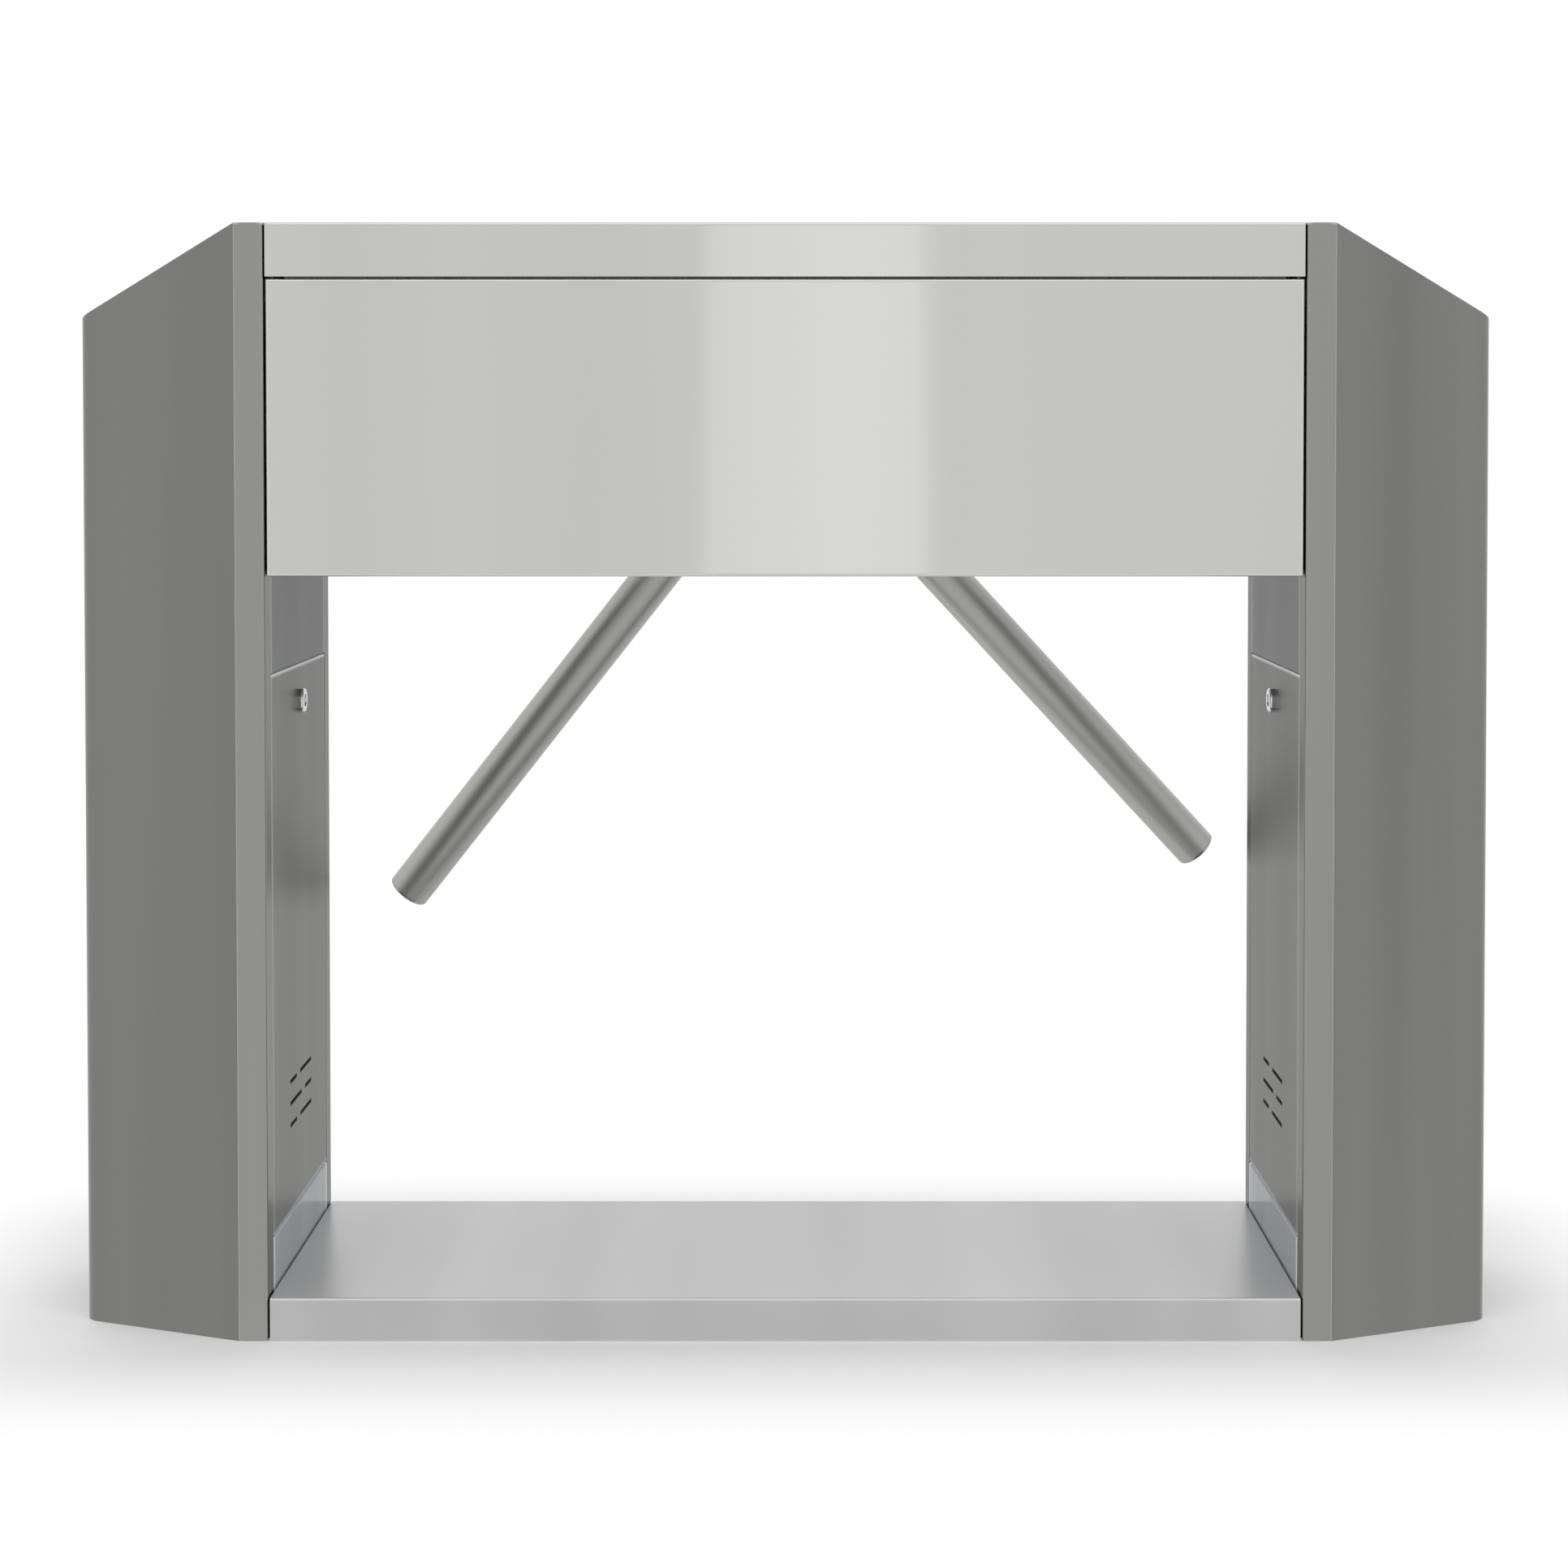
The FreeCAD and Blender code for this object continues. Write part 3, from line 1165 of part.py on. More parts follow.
def drive_motor():
    """A round gear motor under the plate, with a pilot in the plate's bore."""
    centre = (0.0, -pinion_drop)
    body = rod("motor_can", d.motor_radius, "z", (d.plate_height - d.motor_length, d.plate_height), centre)
    eased = rounded("motor_eased", body, d.bend,
                    lambda edge: lies_at(edge, Z_AXIS, d.plate_height - d.motor_length))
    pilot = rod("motor_pilot", d.motor_pilot_radius, "z", (d.plate_height, plate_back), centre)
    bore = rod("motor_bore", d.motor_shaft_radius + d.hinge_play, "z",
               (d.plate_height - d.motor_shaft_depth - OVERCUT, plate_back + OVERCUT), centre)
    taps = [rod(f"motor_tap_{number}", d.plate_screw_radius + d.hole_play, "z",
                (d.plate_height - d.plate_thickness - OVERCUT, d.plate_height + OVERCUT), place)
            for number, place in enumerate(motor_screw_places())]
    keep(on_shaft(cut("motor_bored", fuse("motor_solid", eased, pilot), bore, *taps)), "drive_motor")


def lock_disc():
    """The notched disc that the pawls hold."""
    blank = rod("disc_blank", d.disc_radius, "z", (d.disc_start, disc_end), CENTRE)
    through = (d.disc_start - OVERCUT, disc_end + OVERCUT)
    tools = [rod("disc_bore", d.shaft_radius + d.seat_gap, "z", through, CENTRE)]
    for number in range(int(d.disc_notches)):
        notch = box(f"disc_notch_{number}", (d.disc_radius - d.notch_depth, d.disc_radius + OVERCUT),
                    (-d.notch_width / 2, d.notch_width / 2), through)
        turned_notch = group(f"disc_notch_{number}_turned", notch)
        turned_notch.Placement = FreeCAD.Placement(
            FreeCAD.Vector(), FreeCAD.Rotation(Z_AXIS, 360 * number / float(d.disc_notches)))
        tools.append(turned_notch)
    keep(on_shaft(cut("disc_notched", blank, *tools)), "lock_disc")


def pawl(side, sign):
    """A pawl whose nose drops into a disc notch, and whose tail sits in the plunger's fork."""
    label = f"{side}_pawl"
    pivot = (sign * d.pawl_pivot_x, -d.pawl_pivot_drop)
    thick = (d.disc_start, disc_end)
    arm_near = d.pawl_pivot_x + d.pawl_arm_offset
    nose_top = d.nose_height + d.nose_width / 2
    eye = rod(f"{label}_eye", d.pawl_eye_radius, "z", thick, pivot)
    arm = box(f"{label}_arm", (sign * arm_near, sign * (arm_near + d.pawl_arm_width)),
              (-d.pawl_pivot_drop, nose_top + d.nose_back), thick)
    nose_xs = (sign * (d.disc_radius + d.nose_gap), sign * (arm_near + d.pawl_arm_width / 2))
    nose = box(f"{label}_nose", nose_xs, (nose_top - d.nose_width, nose_top), thick)
    tail_xs = (pivot[0] - d.tail_width / 2, pivot[0] + d.tail_width / 2)
    tail = box(f"{label}_tail", tail_xs, (pivot[1] - d.tail_length, pivot[1]), thick)
    bore = rod(f"{label}_bore", d.pawl_post_radius + d.hinge_play, "z",
               (d.disc_start - OVERCUT, disc_end + OVERCUT), pivot)
    keep(on_shaft(cut(f"{label}_bored", fuse(f"{label}_solid", eye, arm, nose, tail), bore)), label)


def pawl_posts():
    posts = []
    for side, sign in SIDES.items():
        pivot = (sign * d.pawl_pivot_x, -d.pawl_pivot_drop)
        name = f"{side}_pawl_post"
        top = disc_end + d.trim_gap
        stem = rod(f"{name}_stem", d.pawl_post_radius, "z", (d.plate_height, top), pivot)
        shoulder = rod(f"{name}_shoulder", d.pawl_post_head_radius, "z",
                       (plate_back, d.disc_start - d.trim_gap), pivot)
        head = rod(f"{name}_head", d.pawl_post_head_radius, "z", (top, top + d.pawl_post_head), pivot)
        posts.append(fuse(name, stem, shoulder, head))
    keep(on_shaft(group("pawl_post_pair", *posts)), "pawl_posts")


def solenoid(side, sign):
    """A pull solenoid on the plate, and the plunger whose fork holds the pawl's tail."""
    label = f"{side}_solenoid"
    fork_y = -d.pawl_pivot_drop - d.fork_drop
    axis_z = (d.disc_start + disc_end) / 2
    end = d.solenoid_start + d.solenoid_length
    half = d.solenoid_size / 2
    xs = (sign * d.solenoid_start, sign * end)
    can = box(f"{label}_can", xs, (fork_y - half, fork_y + half), (axis_z - half, axis_z + half))
    eased = rounded(f"{label}_eased", can, d.bend, lambda edge: along(edge, X_AXIS))
    foot = box(f"{label}_foot", xs, (fork_y - d.solenoid_foot / 2, fork_y + d.solenoid_foot / 2),
               (plate_back, axis_z - half + d.bend))
    bore = rod(f"{label}_bore", d.plunger_radius + d.hinge_play, "x",
               (sign * (d.solenoid_start - OVERCUT), sign * (end - d.solenoid_back)), (fork_y, axis_z))
    keep(on_shaft(cut(f"{label}_bored", fuse(f"{label}_solid", eased, foot), bore)), label)
    tail_half = d.tail_width / 2
    near = d.pawl_pivot_x - tail_half - d.fork_gap
    far = d.pawl_pivot_x + tail_half + d.fork_gap
    fork_ys = (fork_y - d.fork_width / 2, fork_y + d.fork_width / 2)
    floor = (d.disc_start - d.fork_gap - d.fork_floor, d.disc_start - d.fork_gap)
    prong_zs = (floor[0], disc_end)
    name = f"{side}_plunger"
    base = box(f"{name}_floor", (sign * (near - d.fork_prong), sign * (far + d.fork_prong)), fork_ys, floor)
    inner = box(f"{name}_inner", (sign * (near - d.fork_prong), sign * near), fork_ys, prong_zs)
    outer = box(f"{name}_outer", (sign * far, sign * (far + d.fork_prong)), fork_ys, prong_zs)
    stem_end = d.solenoid_start + d.plunger_depth
    stem = rod(f"{name}_stem", d.plunger_radius, "x",
               (sign * (far + d.fork_prong / 2), sign * stem_end), (fork_y, axis_z))
    keep(on_shaft(fuse(f"{name}_solid", base, inner, outer, stem)), name)


def angle_sensor():
    """A bridge over the disc that holds the sensor board above the shaft's magnet."""
    board_low = d.shaft_end + d.magnet_length + d.sensor_gap
    board_top = board_low + d.board_thickness
    top = board_top + d.bridge_plate
    half = d.bridge_half_width
    deck = box("bridge_deck", (-half, half), (-d.sensor_board / 2, d.bridge_top), (board_top, top))
    leg_ys = (d.bridge_top - d.bridge_depth, d.bridge_top)
    legs = [box(f"bridge_{side}_leg", (sign * half, sign * (half - d.bridge_leg)), leg_ys, (plate_back, top))
            for side, sign in SIDES.items()]
    keep(on_shaft(fuse("bridge_welded", deck, *legs)), "sensor_bridge")
    half_board = d.sensor_board / 2
    board = box("sensor_card", (-half_board, half_board), (-half_board, half_board), (board_low, board_top))
    keep(on_shaft(group("sensor_card_seated", board)), "sensor_board")


# Electronics

def control_board():
    """The controller card on its standoffs, with relays and a terminal strip."""
    middle = -d.control_place
    half_x = d.control_length / 2
    half_y = d.control_width / 2
    low = floor_top + d.standoff
    top = low + d.board_thickness
    pieces = [box("control_card", (middle - half_x, middle + half_x), (-half_y, half_y), (low, top))]
    for x in (-1, 1):
        for y in (-1, 1):
            place = (middle + x * (half_x - d.standoff_inset), y * (half_y - d.standoff_inset))
            name = f"control_standoff_{x + 1}_{y + 1}"
            pieces.append(rod(name, d.standoff_radius, "z", (floor_top, low), place))
    for number in range(4):
        start = middle - 2 * d.relay_pitch + number * d.relay_pitch
        pieces.append(box(f"control_relay_{number}", (start, start + d.relay_size), (d.relay_size / 2,
                      d.relay_size * 1.5), (top, top + d.relay_size)))
    pieces.append(box("control_terminals", (middle - d.terminal_length / 2, middle + d.terminal_length / 2),
                      (-half_y, d.terminal_width - half_y), (top, top + d.terminal_width)))
    keep(fuse("control_assembled", *pieces), "control_board")


def power_supply():
    middle = d.control_place
    top = floor_top + d.supply_height
    can = box("supply_can", (middle - d.supply_length / 2, middle + d.supply_length / 2),
              (-d.supply_width / 2, d.supply_width / 2), (floor_top, top))
    eased = rounded("supply_eased", can, d.bend, lambda edge: lies_at(edge, Z_AXIS, top))
    recess_x = middle + d.supply_length / 2
    recess = box("supply_terminal_recess", (recess_x - d.terminal_width, recess_x + OVERCUT),
                 (-d.supply_width / 2 + d.terminal_width, d.supply_width / 2 - d.terminal_width),
                 (top - d.terminal_width, top + OVERCUT))
    keep(cut("supply_recessed", eased, recess), "power_supply")


for side, sign in SIDES.items():
    for face, facing in FACES.items():
        post(side, sign, face, facing)
    foot_plate(side, sign)
    lower_panel(side, sign)
    upper_panel(side, sign)
    cover(side, sign)
    reader_window(side, sign)
    door(side, sign)
    door_lock(side, sign)
cover_screws()
base_tray()
beam_floor()
beam_panels()
beam_lid()
lid_hinges()
beam_bolts()
mechanism_frame()
frame_screws()
plate_screws()
bearing_housing()
sleeve_seal()
main_shaft()
hub()
arms()
gears()
drive_motor()
lock_disc()
pawl_posts()
for side, sign in SIDES.items():
    pawl(side, sign)
    solenoid(side, sign)
angle_sensor()
control_board()
power_supply()
doc.recompute()

failed = [made.Name for made in doc.Objects if {"Invalid", "Error"} & set(made.State)]
failed += [made.Label for made in sub_parts if made.Shape.isNull() or not made.Shape.isValid()]
if failed:
    raise RuntimeError(f"these did not build: {failed}")
os.makedirs("parts", exist_ok=True)
for made in sub_parts:
    made.Shape.exportStep(f"parts/{made.Label}.step")
print(len(sub_parts), "sub-parts written")
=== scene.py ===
import json
import math

import bmesh
import bpy
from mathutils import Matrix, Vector


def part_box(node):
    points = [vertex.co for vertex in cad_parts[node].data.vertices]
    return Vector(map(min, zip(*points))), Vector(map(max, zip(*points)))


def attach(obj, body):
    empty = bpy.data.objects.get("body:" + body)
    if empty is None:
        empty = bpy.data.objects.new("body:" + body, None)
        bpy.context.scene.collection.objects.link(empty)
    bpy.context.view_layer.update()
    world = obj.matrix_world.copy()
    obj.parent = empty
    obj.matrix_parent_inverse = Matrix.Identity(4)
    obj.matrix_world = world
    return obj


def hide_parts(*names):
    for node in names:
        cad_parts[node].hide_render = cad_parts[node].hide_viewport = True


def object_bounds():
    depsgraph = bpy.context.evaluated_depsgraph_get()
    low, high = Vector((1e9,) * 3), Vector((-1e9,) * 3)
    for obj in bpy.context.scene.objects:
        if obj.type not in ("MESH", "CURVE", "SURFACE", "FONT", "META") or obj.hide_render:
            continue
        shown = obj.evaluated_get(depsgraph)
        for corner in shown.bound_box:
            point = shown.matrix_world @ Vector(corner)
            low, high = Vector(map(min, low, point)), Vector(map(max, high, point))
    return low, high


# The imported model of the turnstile: every sheet, tube and machined piece at its real size, in metres,
# standing on the floor with the columns along X and the arms on the +Y side.
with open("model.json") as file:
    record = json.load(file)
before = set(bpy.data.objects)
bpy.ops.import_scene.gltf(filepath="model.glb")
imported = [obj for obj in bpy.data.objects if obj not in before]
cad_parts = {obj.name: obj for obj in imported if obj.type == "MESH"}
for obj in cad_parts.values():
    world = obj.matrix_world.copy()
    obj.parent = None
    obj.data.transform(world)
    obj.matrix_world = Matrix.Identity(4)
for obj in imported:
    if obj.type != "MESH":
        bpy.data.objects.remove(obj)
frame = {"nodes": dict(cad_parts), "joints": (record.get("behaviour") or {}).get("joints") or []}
nodes = frame["nodes"]
cad_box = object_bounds()


# The feet and the pan of the base tray: steel plate that carries the columns and hides in the tray.
# Zinc plating leaves it a dull blue-grey with faint yellow crystals.
def linear(code):
    """An sRGB hex colour as linear RGBA."""
    channels = [int(code[place:place + 2], 16) / 255 for place in (1, 3, 5)]
    return [c / 12.92 if c <= 0.04045 else ((c + 0.055) / 1.055) ** 2.4 for c in channels] + [1.0]


def add(tree, kind, links, **settings):
    """A new node with its settings; links maps each input to a socket or to a constant."""
    node = tree.nodes.new(kind)
    for name, value in settings.items():
        setattr(node, name, value)
    for place, source in links.items():
        if isinstance(source, bpy.types.NodeSocket):
            tree.links.new(source, node.inputs[place])
        else:
            node.inputs[place].default_value = source
    return node


def blank_finish(name):
    """A new material, its node tree, its shader and the spot being shaded, in Object coordinates."""
    material = bpy.data.materials.new(name)
    material.use_nodes = True
    tree = material.node_tree
    spot = add(tree, "ShaderNodeTexCoord", {}).outputs["Object"]
    return material, tree, tree.nodes["Principled BSDF"], spot


def dress(material, *names):
    """Gives the named CAD nodes this one material."""
    for name in names:
        mesh = nodes[name].data
        mesh.materials.clear()
        mesh.materials.append(material)


# A Mix node has several inputs of one name, so its share, numbers and colours are known by their places.
share, number_a, number_b, colour_a, colour_b = 0, 2, 3, 6, 7
mixed_colour = 2
zinc_plate, tree, metal, spot = blank_finish("zinc_plated_steel")
crystal_size = 0.006
crystal_share = 0.4
blotch_size = 0.05
crystals = add(tree, "ShaderNodeTexVoronoi", {"Vector": spot, "Scale": 1 / crystal_size})
blotches = add(tree, "ShaderNodeTexNoise", {"Vector": spot, "Scale": 1 / blotch_size, "Detail": 3.0})
mottle = add(tree, "ShaderNodeMix", {share: crystal_share, number_a: blotches.outputs[0],
                                     number_b: crystals.outputs["Distance"]})
tint = add(tree, "ShaderNodeMix", {share: mottle.outputs[0], colour_a: linear("#A1A7A9"),
                                   colour_b: linear("#BFC0B7")}, data_type="RGBA")
dull = add(tree, "ShaderNodeMapRange", {"Value": blotches.outputs[0], "To Min": 0.3, "To Max": 0.5})
tree.links.new(tint.outputs[mixed_colour], metal.inputs["Base Color"])
tree.links.new(dull.outputs[0], metal.inputs["Roughness"])
metal.inputs["Metallic"].default_value = 1.0
dress(zinc_plate, "left_foot_plate", "right_foot_plate", "base_pan")


# The narrow front and back strips of each column, channels folded from 2 mm stainless sheet.
# The sheet is brushed upright and left satin, streaked along its length. Its soft grey, darker than the
# beam's sheet, is painted shade, and a painted highlight runs along its folds.
def satin_sheet(name, shade, light, roughness, run, bands, mirror=1.0, slant="#FFFFFF"):
    """Sheet metal with soft bands of these lengths, fine brushing along run, and slow waves.

    The brushing is drawn about three times as wide as it is, so that it shows. Mirror is the share of the
    light that the sheet mirrors: handling and fine grit scatter the rest. Slant is the tint of what it
    mirrors when it is seen along its face.
    """
    material, tree, steel, spot = blank_finish(name)
    scratch_length = 0.15
    scratch_width = 0.0009
    scratch_depth = 0.00003
    scratch_relief = 0.03
    scratch_dulling = 0.01
    band_share = 0.97
    wave_length = 0.3
    wave_height = 0.0006
    fineness = [1 / scratch_length if axis == run else 1 / scratch_width for axis in "XYZ"]
    brushed = add(tree, "ShaderNodeMapping", {"Vector": spot, "Scale": fineness})
    banded = add(tree, "ShaderNodeMapping", {"Vector": spot, "Scale": [1 / length for length in bands]})
    scratches = add(tree, "ShaderNodeTexNoise", {"Vector": brushed.outputs[0], "Scale": 1.0, "Detail": 3.0})
    sheen = add(tree, "ShaderNodeTexNoise", {"Vector": banded.outputs[0], "Scale": 1.0, "Detail": 1.0})
    waves = add(tree, "ShaderNodeTexNoise", {"Vector": spot, "Scale": 1 / wave_length, "Detail": 0.0})
    both = add(tree, "ShaderNodeMix", {share: band_share, number_a: scratches.outputs[0],
                                       number_b: sheen.outputs[0]})
    depth = add(tree, "ShaderNodeMapRange", {"Value": both.outputs[0], "From Min": 0.3, "From Max": 0.7})
    tint = add(tree, "ShaderNodeMix", {share: depth.outputs[0], colour_a: linear(shade),
                                       colour_b: linear(light)}, data_type="RGBA")
    satin = add(tree, "ShaderNodeMapRange",
                {"Value": scratches.outputs[0], "From Min": 0.25, "From Max": 0.75,
                 "To Min": roughness - scratch_dulling, "To Max": roughness + scratch_dulling})
    warp = add(tree, "ShaderNodeBump", {"Strength": 1.0, "Distance": wave_height, "Height": waves.outputs[0]})
    relief = add(tree, "ShaderNodeBump", {"Strength": scratch_relief, "Distance": scratch_depth,
                                          "Height": scratches.outputs[0], "Normal": warp.outputs[0]})
    tree.links.new(tint.outputs[mixed_colour], steel.inputs["Base Color"])
    tree.links.new(satin.outputs[0], steel.inputs["Roughness"])
    tree.links.new(relief.outputs[0], steel.inputs["Normal"])
    steel.inputs["Metallic"].default_value = mirror
    steel.inputs["Specular Tint"].default_value = linear(slant)
    return material


def paint_fold_highlights(material, fold_highlight, fold_width, low, high, face, sides, highlight_diffuse=0.0):
    """Paints a highlight on a sheet along the folds that end one face, on the named sides of its box.

    The box is that of the piece at +X and +Y, which the others mirror. The last argument is how far the
    folds, where the highlight is painted, scatter the light instead of mirroring it.
    """
    tree = material.node_tree
    steel = tree.nodes["Principled BSDF"]
    spot = next(node for node in tree.nodes if node.type == "TEX_COORD").outputs["Object"]
    plain = steel.inputs["Base Color"].links[0].from_socket
    one_side = add(tree, "ShaderNodeVectorMath", {0: spot}, operation="ABSOLUTE")
    from_middle = add(tree, "ShaderNodeVectorMath", {0: one_side.outputs[0], 1: (low + high) / 2},
                      operation="SUBTRACT")
    off_middle = add(tree, "ShaderNodeVectorMath", {0: from_middle.outputs[0]}, operation="ABSOLUTE")
    past_edge = add(tree, "ShaderNodeVectorMath", {0: off_middle.outputs[0], 1: (high - low) / 2},
                    operation="SUBTRACT")
    ways = add(tree, "ShaderNodeSeparateXYZ", {0: past_edge.outputs[0]})
    ends = add(tree, "ShaderNodeMath", {0: ways.outputs[sides[0]], 1: ways.outputs[sides[-1]]},
               operation="MAXIMUM")
    nearest = add(tree, "ShaderNodeMath", {0: ways.outputs[face], 1: ends.outputs[0]}, operation="MINIMUM")
    fold = add(tree, "ShaderNodeMapRange",
               {"Value": nearest.outputs[0], "From Min": -fold_width, "From Max": 0.0},
               interpolation_type="SMOOTHSTEP")
    bright = add(tree, "ShaderNodeMix", {share: fold.outputs[0], colour_a: plain,
                                         colour_b: linear(fold_highlight)}, data_type="RGBA")
    tree.links.new(bright.outputs[mixed_colour], steel.inputs["Base Color"])
    if highlight_diffuse:
        shine = steel.inputs["Metallic"]
        before = shine.links[0].from_socket if shine.links else shine.default_value
        fold_metallic = add(tree, "ShaderNodeMix", {share: fold.outputs[0], number_a: before,
                                             number_b: 1.0 - highlight_diffuse})
        tree.links.new(fold_metallic.outputs[0], shine)


# The strips' darker grey is painted shade, and their folds carry a painted highlight.
strip_low, strip_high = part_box("right_back_post")
strip_sheet = satin_sheet("upright_brushed_strip", shade="#868683", light="#979793", roughness=0.26, run="Z",
                          bands=(0.1, 0.1, 2.5), slant="#C8C8C8")
paint_fold_highlights(strip_sheet, fold_highlight="#A9A9A6", fold_width=0.0012, low=strip_low, high=strip_high, face="Y",
          sides="X")
dress(strip_sheet, "left_front_post", "left_back_post", "right_front_post", "right_back_post")

# The fixed panels on the inner faces, above and below the doors, folded from bright annealed sheet.
# A painted highlight runs along their folds, and the upper ones darken where they are seen along their
# face. The lower ones are coloured paler and bluer than the doors, a painted reflection of the tray below
# them, and mirror little.
annealed_bands = (0.06, 0.06, 2.5)
door_low, door_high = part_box("right_door")
upper_low, upper_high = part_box("right_upper_panel")
lower_low, lower_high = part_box("right_lower_panel")
for corner in (upper_low, lower_low):
    corner.y = door_low.y
for corner in (upper_high, lower_high):
    corner.y = door_high.y
upper_sheet = satin_sheet("bright_annealed_panel", shade="#868887", light="#929493", roughness=0.18, run="Z",
                          bands=annealed_bands, mirror=0.75, slant="#9A9A9A")
paint_fold_highlights(upper_sheet, fold_highlight="#B4B6B6", fold_width=0.008, low=upper_low, high=upper_high, face="X",
          sides="Y", highlight_diffuse=0.5)
dress(upper_sheet, "left_upper_panel", "right_upper_panel")
lower_sheet = satin_sheet("pale_annealed_panel", shade="#9EA5AA", light="#AAB0B4", roughness=0.17, run="Z",
                          bands=annealed_bands, mirror=0.15, slant="#909090")
lower_sheet.node_tree.nodes["Principled BSDF"].inputs["Specular IOR Level"].default_value = 0.1
paint_fold_highlights(lower_sheet, fold_highlight="#F4F8FA", fold_width=0.008, low=lower_low, high=lower_high, face="X",
          sides="Y", highlight_diffuse=0.9)
dress(lower_sheet, "left_lower_panel", "right_lower_panel")

# The base tray's cover, a folded sheet that drops over the pan and its cables.
# It is satin sheet brushed along the tray, with a painted highlight where the top folds into the lip.
tray_low, tray_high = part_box("base_cover")
tray_low.z = -tray_high.z
tray_sheet = satin_sheet("tray_cover_sheet", shade="#B2B2B3", light="#BEBEBF", roughness=0.3, run="X",
                         bands=(0.12, 3.0, 3.0), mirror=0.5)
paint_fold_highlights(tray_sheet, fold_highlight="#FAF3F0", fold_width=0.0022, low=tray_low, high=tray_high, face="Y",
          sides="Z", highlight_diffuse=0.9)
dress(tray_sheet, "base_cover")

# The beam's load plate, the sloping frame that stands on it and the sensor's bridge: bent steel plate,
# zinc plated like the feet.
dress(zinc_plate, "beam_floor", "mechanism_frame", "sensor_bridge")

# The beam's front and back panels, pans of satin sheet brushed lengthways.
# They are the palest sheets, nearly flat, with a soft sheen that follows the waves of the sheet.
panel_low, panel_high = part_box("beam_back_panel")
beam_satin = satin_sheet("beam_satin_sheet", shade="#C1C1C0", light="#C6C6C4", roughness=0.06, run="X",
                         bands=(0.14, 0.14, 2.5), slant="#C8C8C8")
# The panels' copy of the sheet adds a painted highlight along the folds round their edges.
panel_satin = beam_satin.copy()
panel_satin.name = "folded_beam_panel"
paint_fold_highlights(panel_satin, fold_highlight="#F2F2EF", fold_width=0.0022, low=panel_low, high=panel_high, face="Y",
          sides="XZ", highlight_diffuse=0.5)
dress(panel_satin, "beam_front_panel", "beam_back_panel")

# A strip of grey cell foam, stuck along the top flange of the front panel, keeps dust out under the lid.
# It is cut from a half-round section, and its open cells leave it dull and pitted.
foam, tree, cells, spot = blank_finish("grey_cell_foam")
cell_size = 0.0012
cell_depth = 0.0003
pores = add(tree, "ShaderNodeTexVoronoi", {"Vector": spot, "Scale": 1 / cell_size})
tint = add(tree, "ShaderNodeMix", {share: pores.outputs["Distance"], colour_a: linear("#8B8883"),
                                   colour_b: linear("#5F5C58")}, data_type="RGBA")
relief = add(tree, "ShaderNodeBump", {"Strength": 0.5, "Distance": cell_depth,
                                      "Height": pores.outputs["Distance"]})
tree.links.new(tint.outputs[mixed_colour], cells.inputs["Base Color"])
tree.links.new(relief.outputs[0], cells.inputs["Normal"])
cells.inputs["Roughness"].default_value = 0.95
foam_half = 0.445
foam_width = 0.006
foam_height = 0.0035
foam_middle = -0.1432
arc_steps = 8
section = []
for step in range(arc_steps + 1):
    turn = math.pi * step / arc_steps
    section.append((foam_middle + foam_width / 2 * math.cos(turn),
                    panel_high.z + foam_height * math.sin(turn)))
corners = [(x, y, z) for x in (-foam_half, foam_half) for y, z in section]
count = len(section)
walls = [(step, step + 1, count + step + 1, count + step) for step in range(count - 1)]
walls += [(count - 1, 0, count, 2 * count - 1), range(count)[::-1], range(count, 2 * count)]
foam_mesh = bpy.data.meshes.new("lid_foam_strip")
foam_mesh.from_pydata(corners, [], walls)
foam_mesh.materials.append(foam)
foam_strip = bpy.data.objects.new("lid_foam_strip", foam_mesh)
bpy.context.scene.collection.objects.link(foam_strip)
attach(foam_strip, "frame")

# Shaft, gears, lock disc, pawls, bearings and plungers: turned and milled steel.
# A film of oil dulls it in patches.
machined, tree, metal, spot = blank_finish("oiled_machined_steel")
oil_patch = 0.022
oil = add(tree, "ShaderNodeTexNoise", {"Vector": spot, "Scale": 1 / oil_patch, "Detail": 4.0})
tint = add(tree, "ShaderNodeMix", {share: oil.outputs[0], colour_a: linear("#84827D"),
                                   colour_b: linear("#B2B1AD")}, data_type="RGBA")
film = add(tree, "ShaderNodeMapRange", {"Value": oil.outputs[0], "To Min": 0.22, "To Max": 0.42})
tree.links.new(tint.outputs[mixed_colour], metal.inputs["Base Color"])
tree.links.new(film.outputs[0], metal.inputs["Roughness"])
metal.inputs["Metallic"].default_value = 1.0
dress(machined, "main_shaft", "drive_gear", "lock_disc", "pawl_posts", "drive_pinion", "front_bearing",
      "rear_bearing", "left_pawl", "right_pawl", "left_plunger", "right_plunger")

# The motor and the solenoids, steel cans under black baked enamel.
# The enamel has the fine peel of a sprayed coat.
enamel, tree, paint, spot = blank_finish("baked_black_enamel")
peel_size = 0.0017
peel_depth = 0.0001
peel = add(tree, "ShaderNodeTexNoise", {"Vector": spot, "Scale": 1 / peel_size, "Detail": 2.0})
relief = add(tree, "ShaderNodeBump", {"Strength": 0.2, "Distance": peel_depth, "Height": peel.outputs[0]})
tree.links.new(relief.outputs[0], paint.inputs["Normal"])
paint.inputs["Base Color"].default_value = linear("#2A2B2D")
paint.inputs["Roughness"].default_value = 0.38
dress(enamel, "drive_motor", "left_solenoid", "right_solenoid")

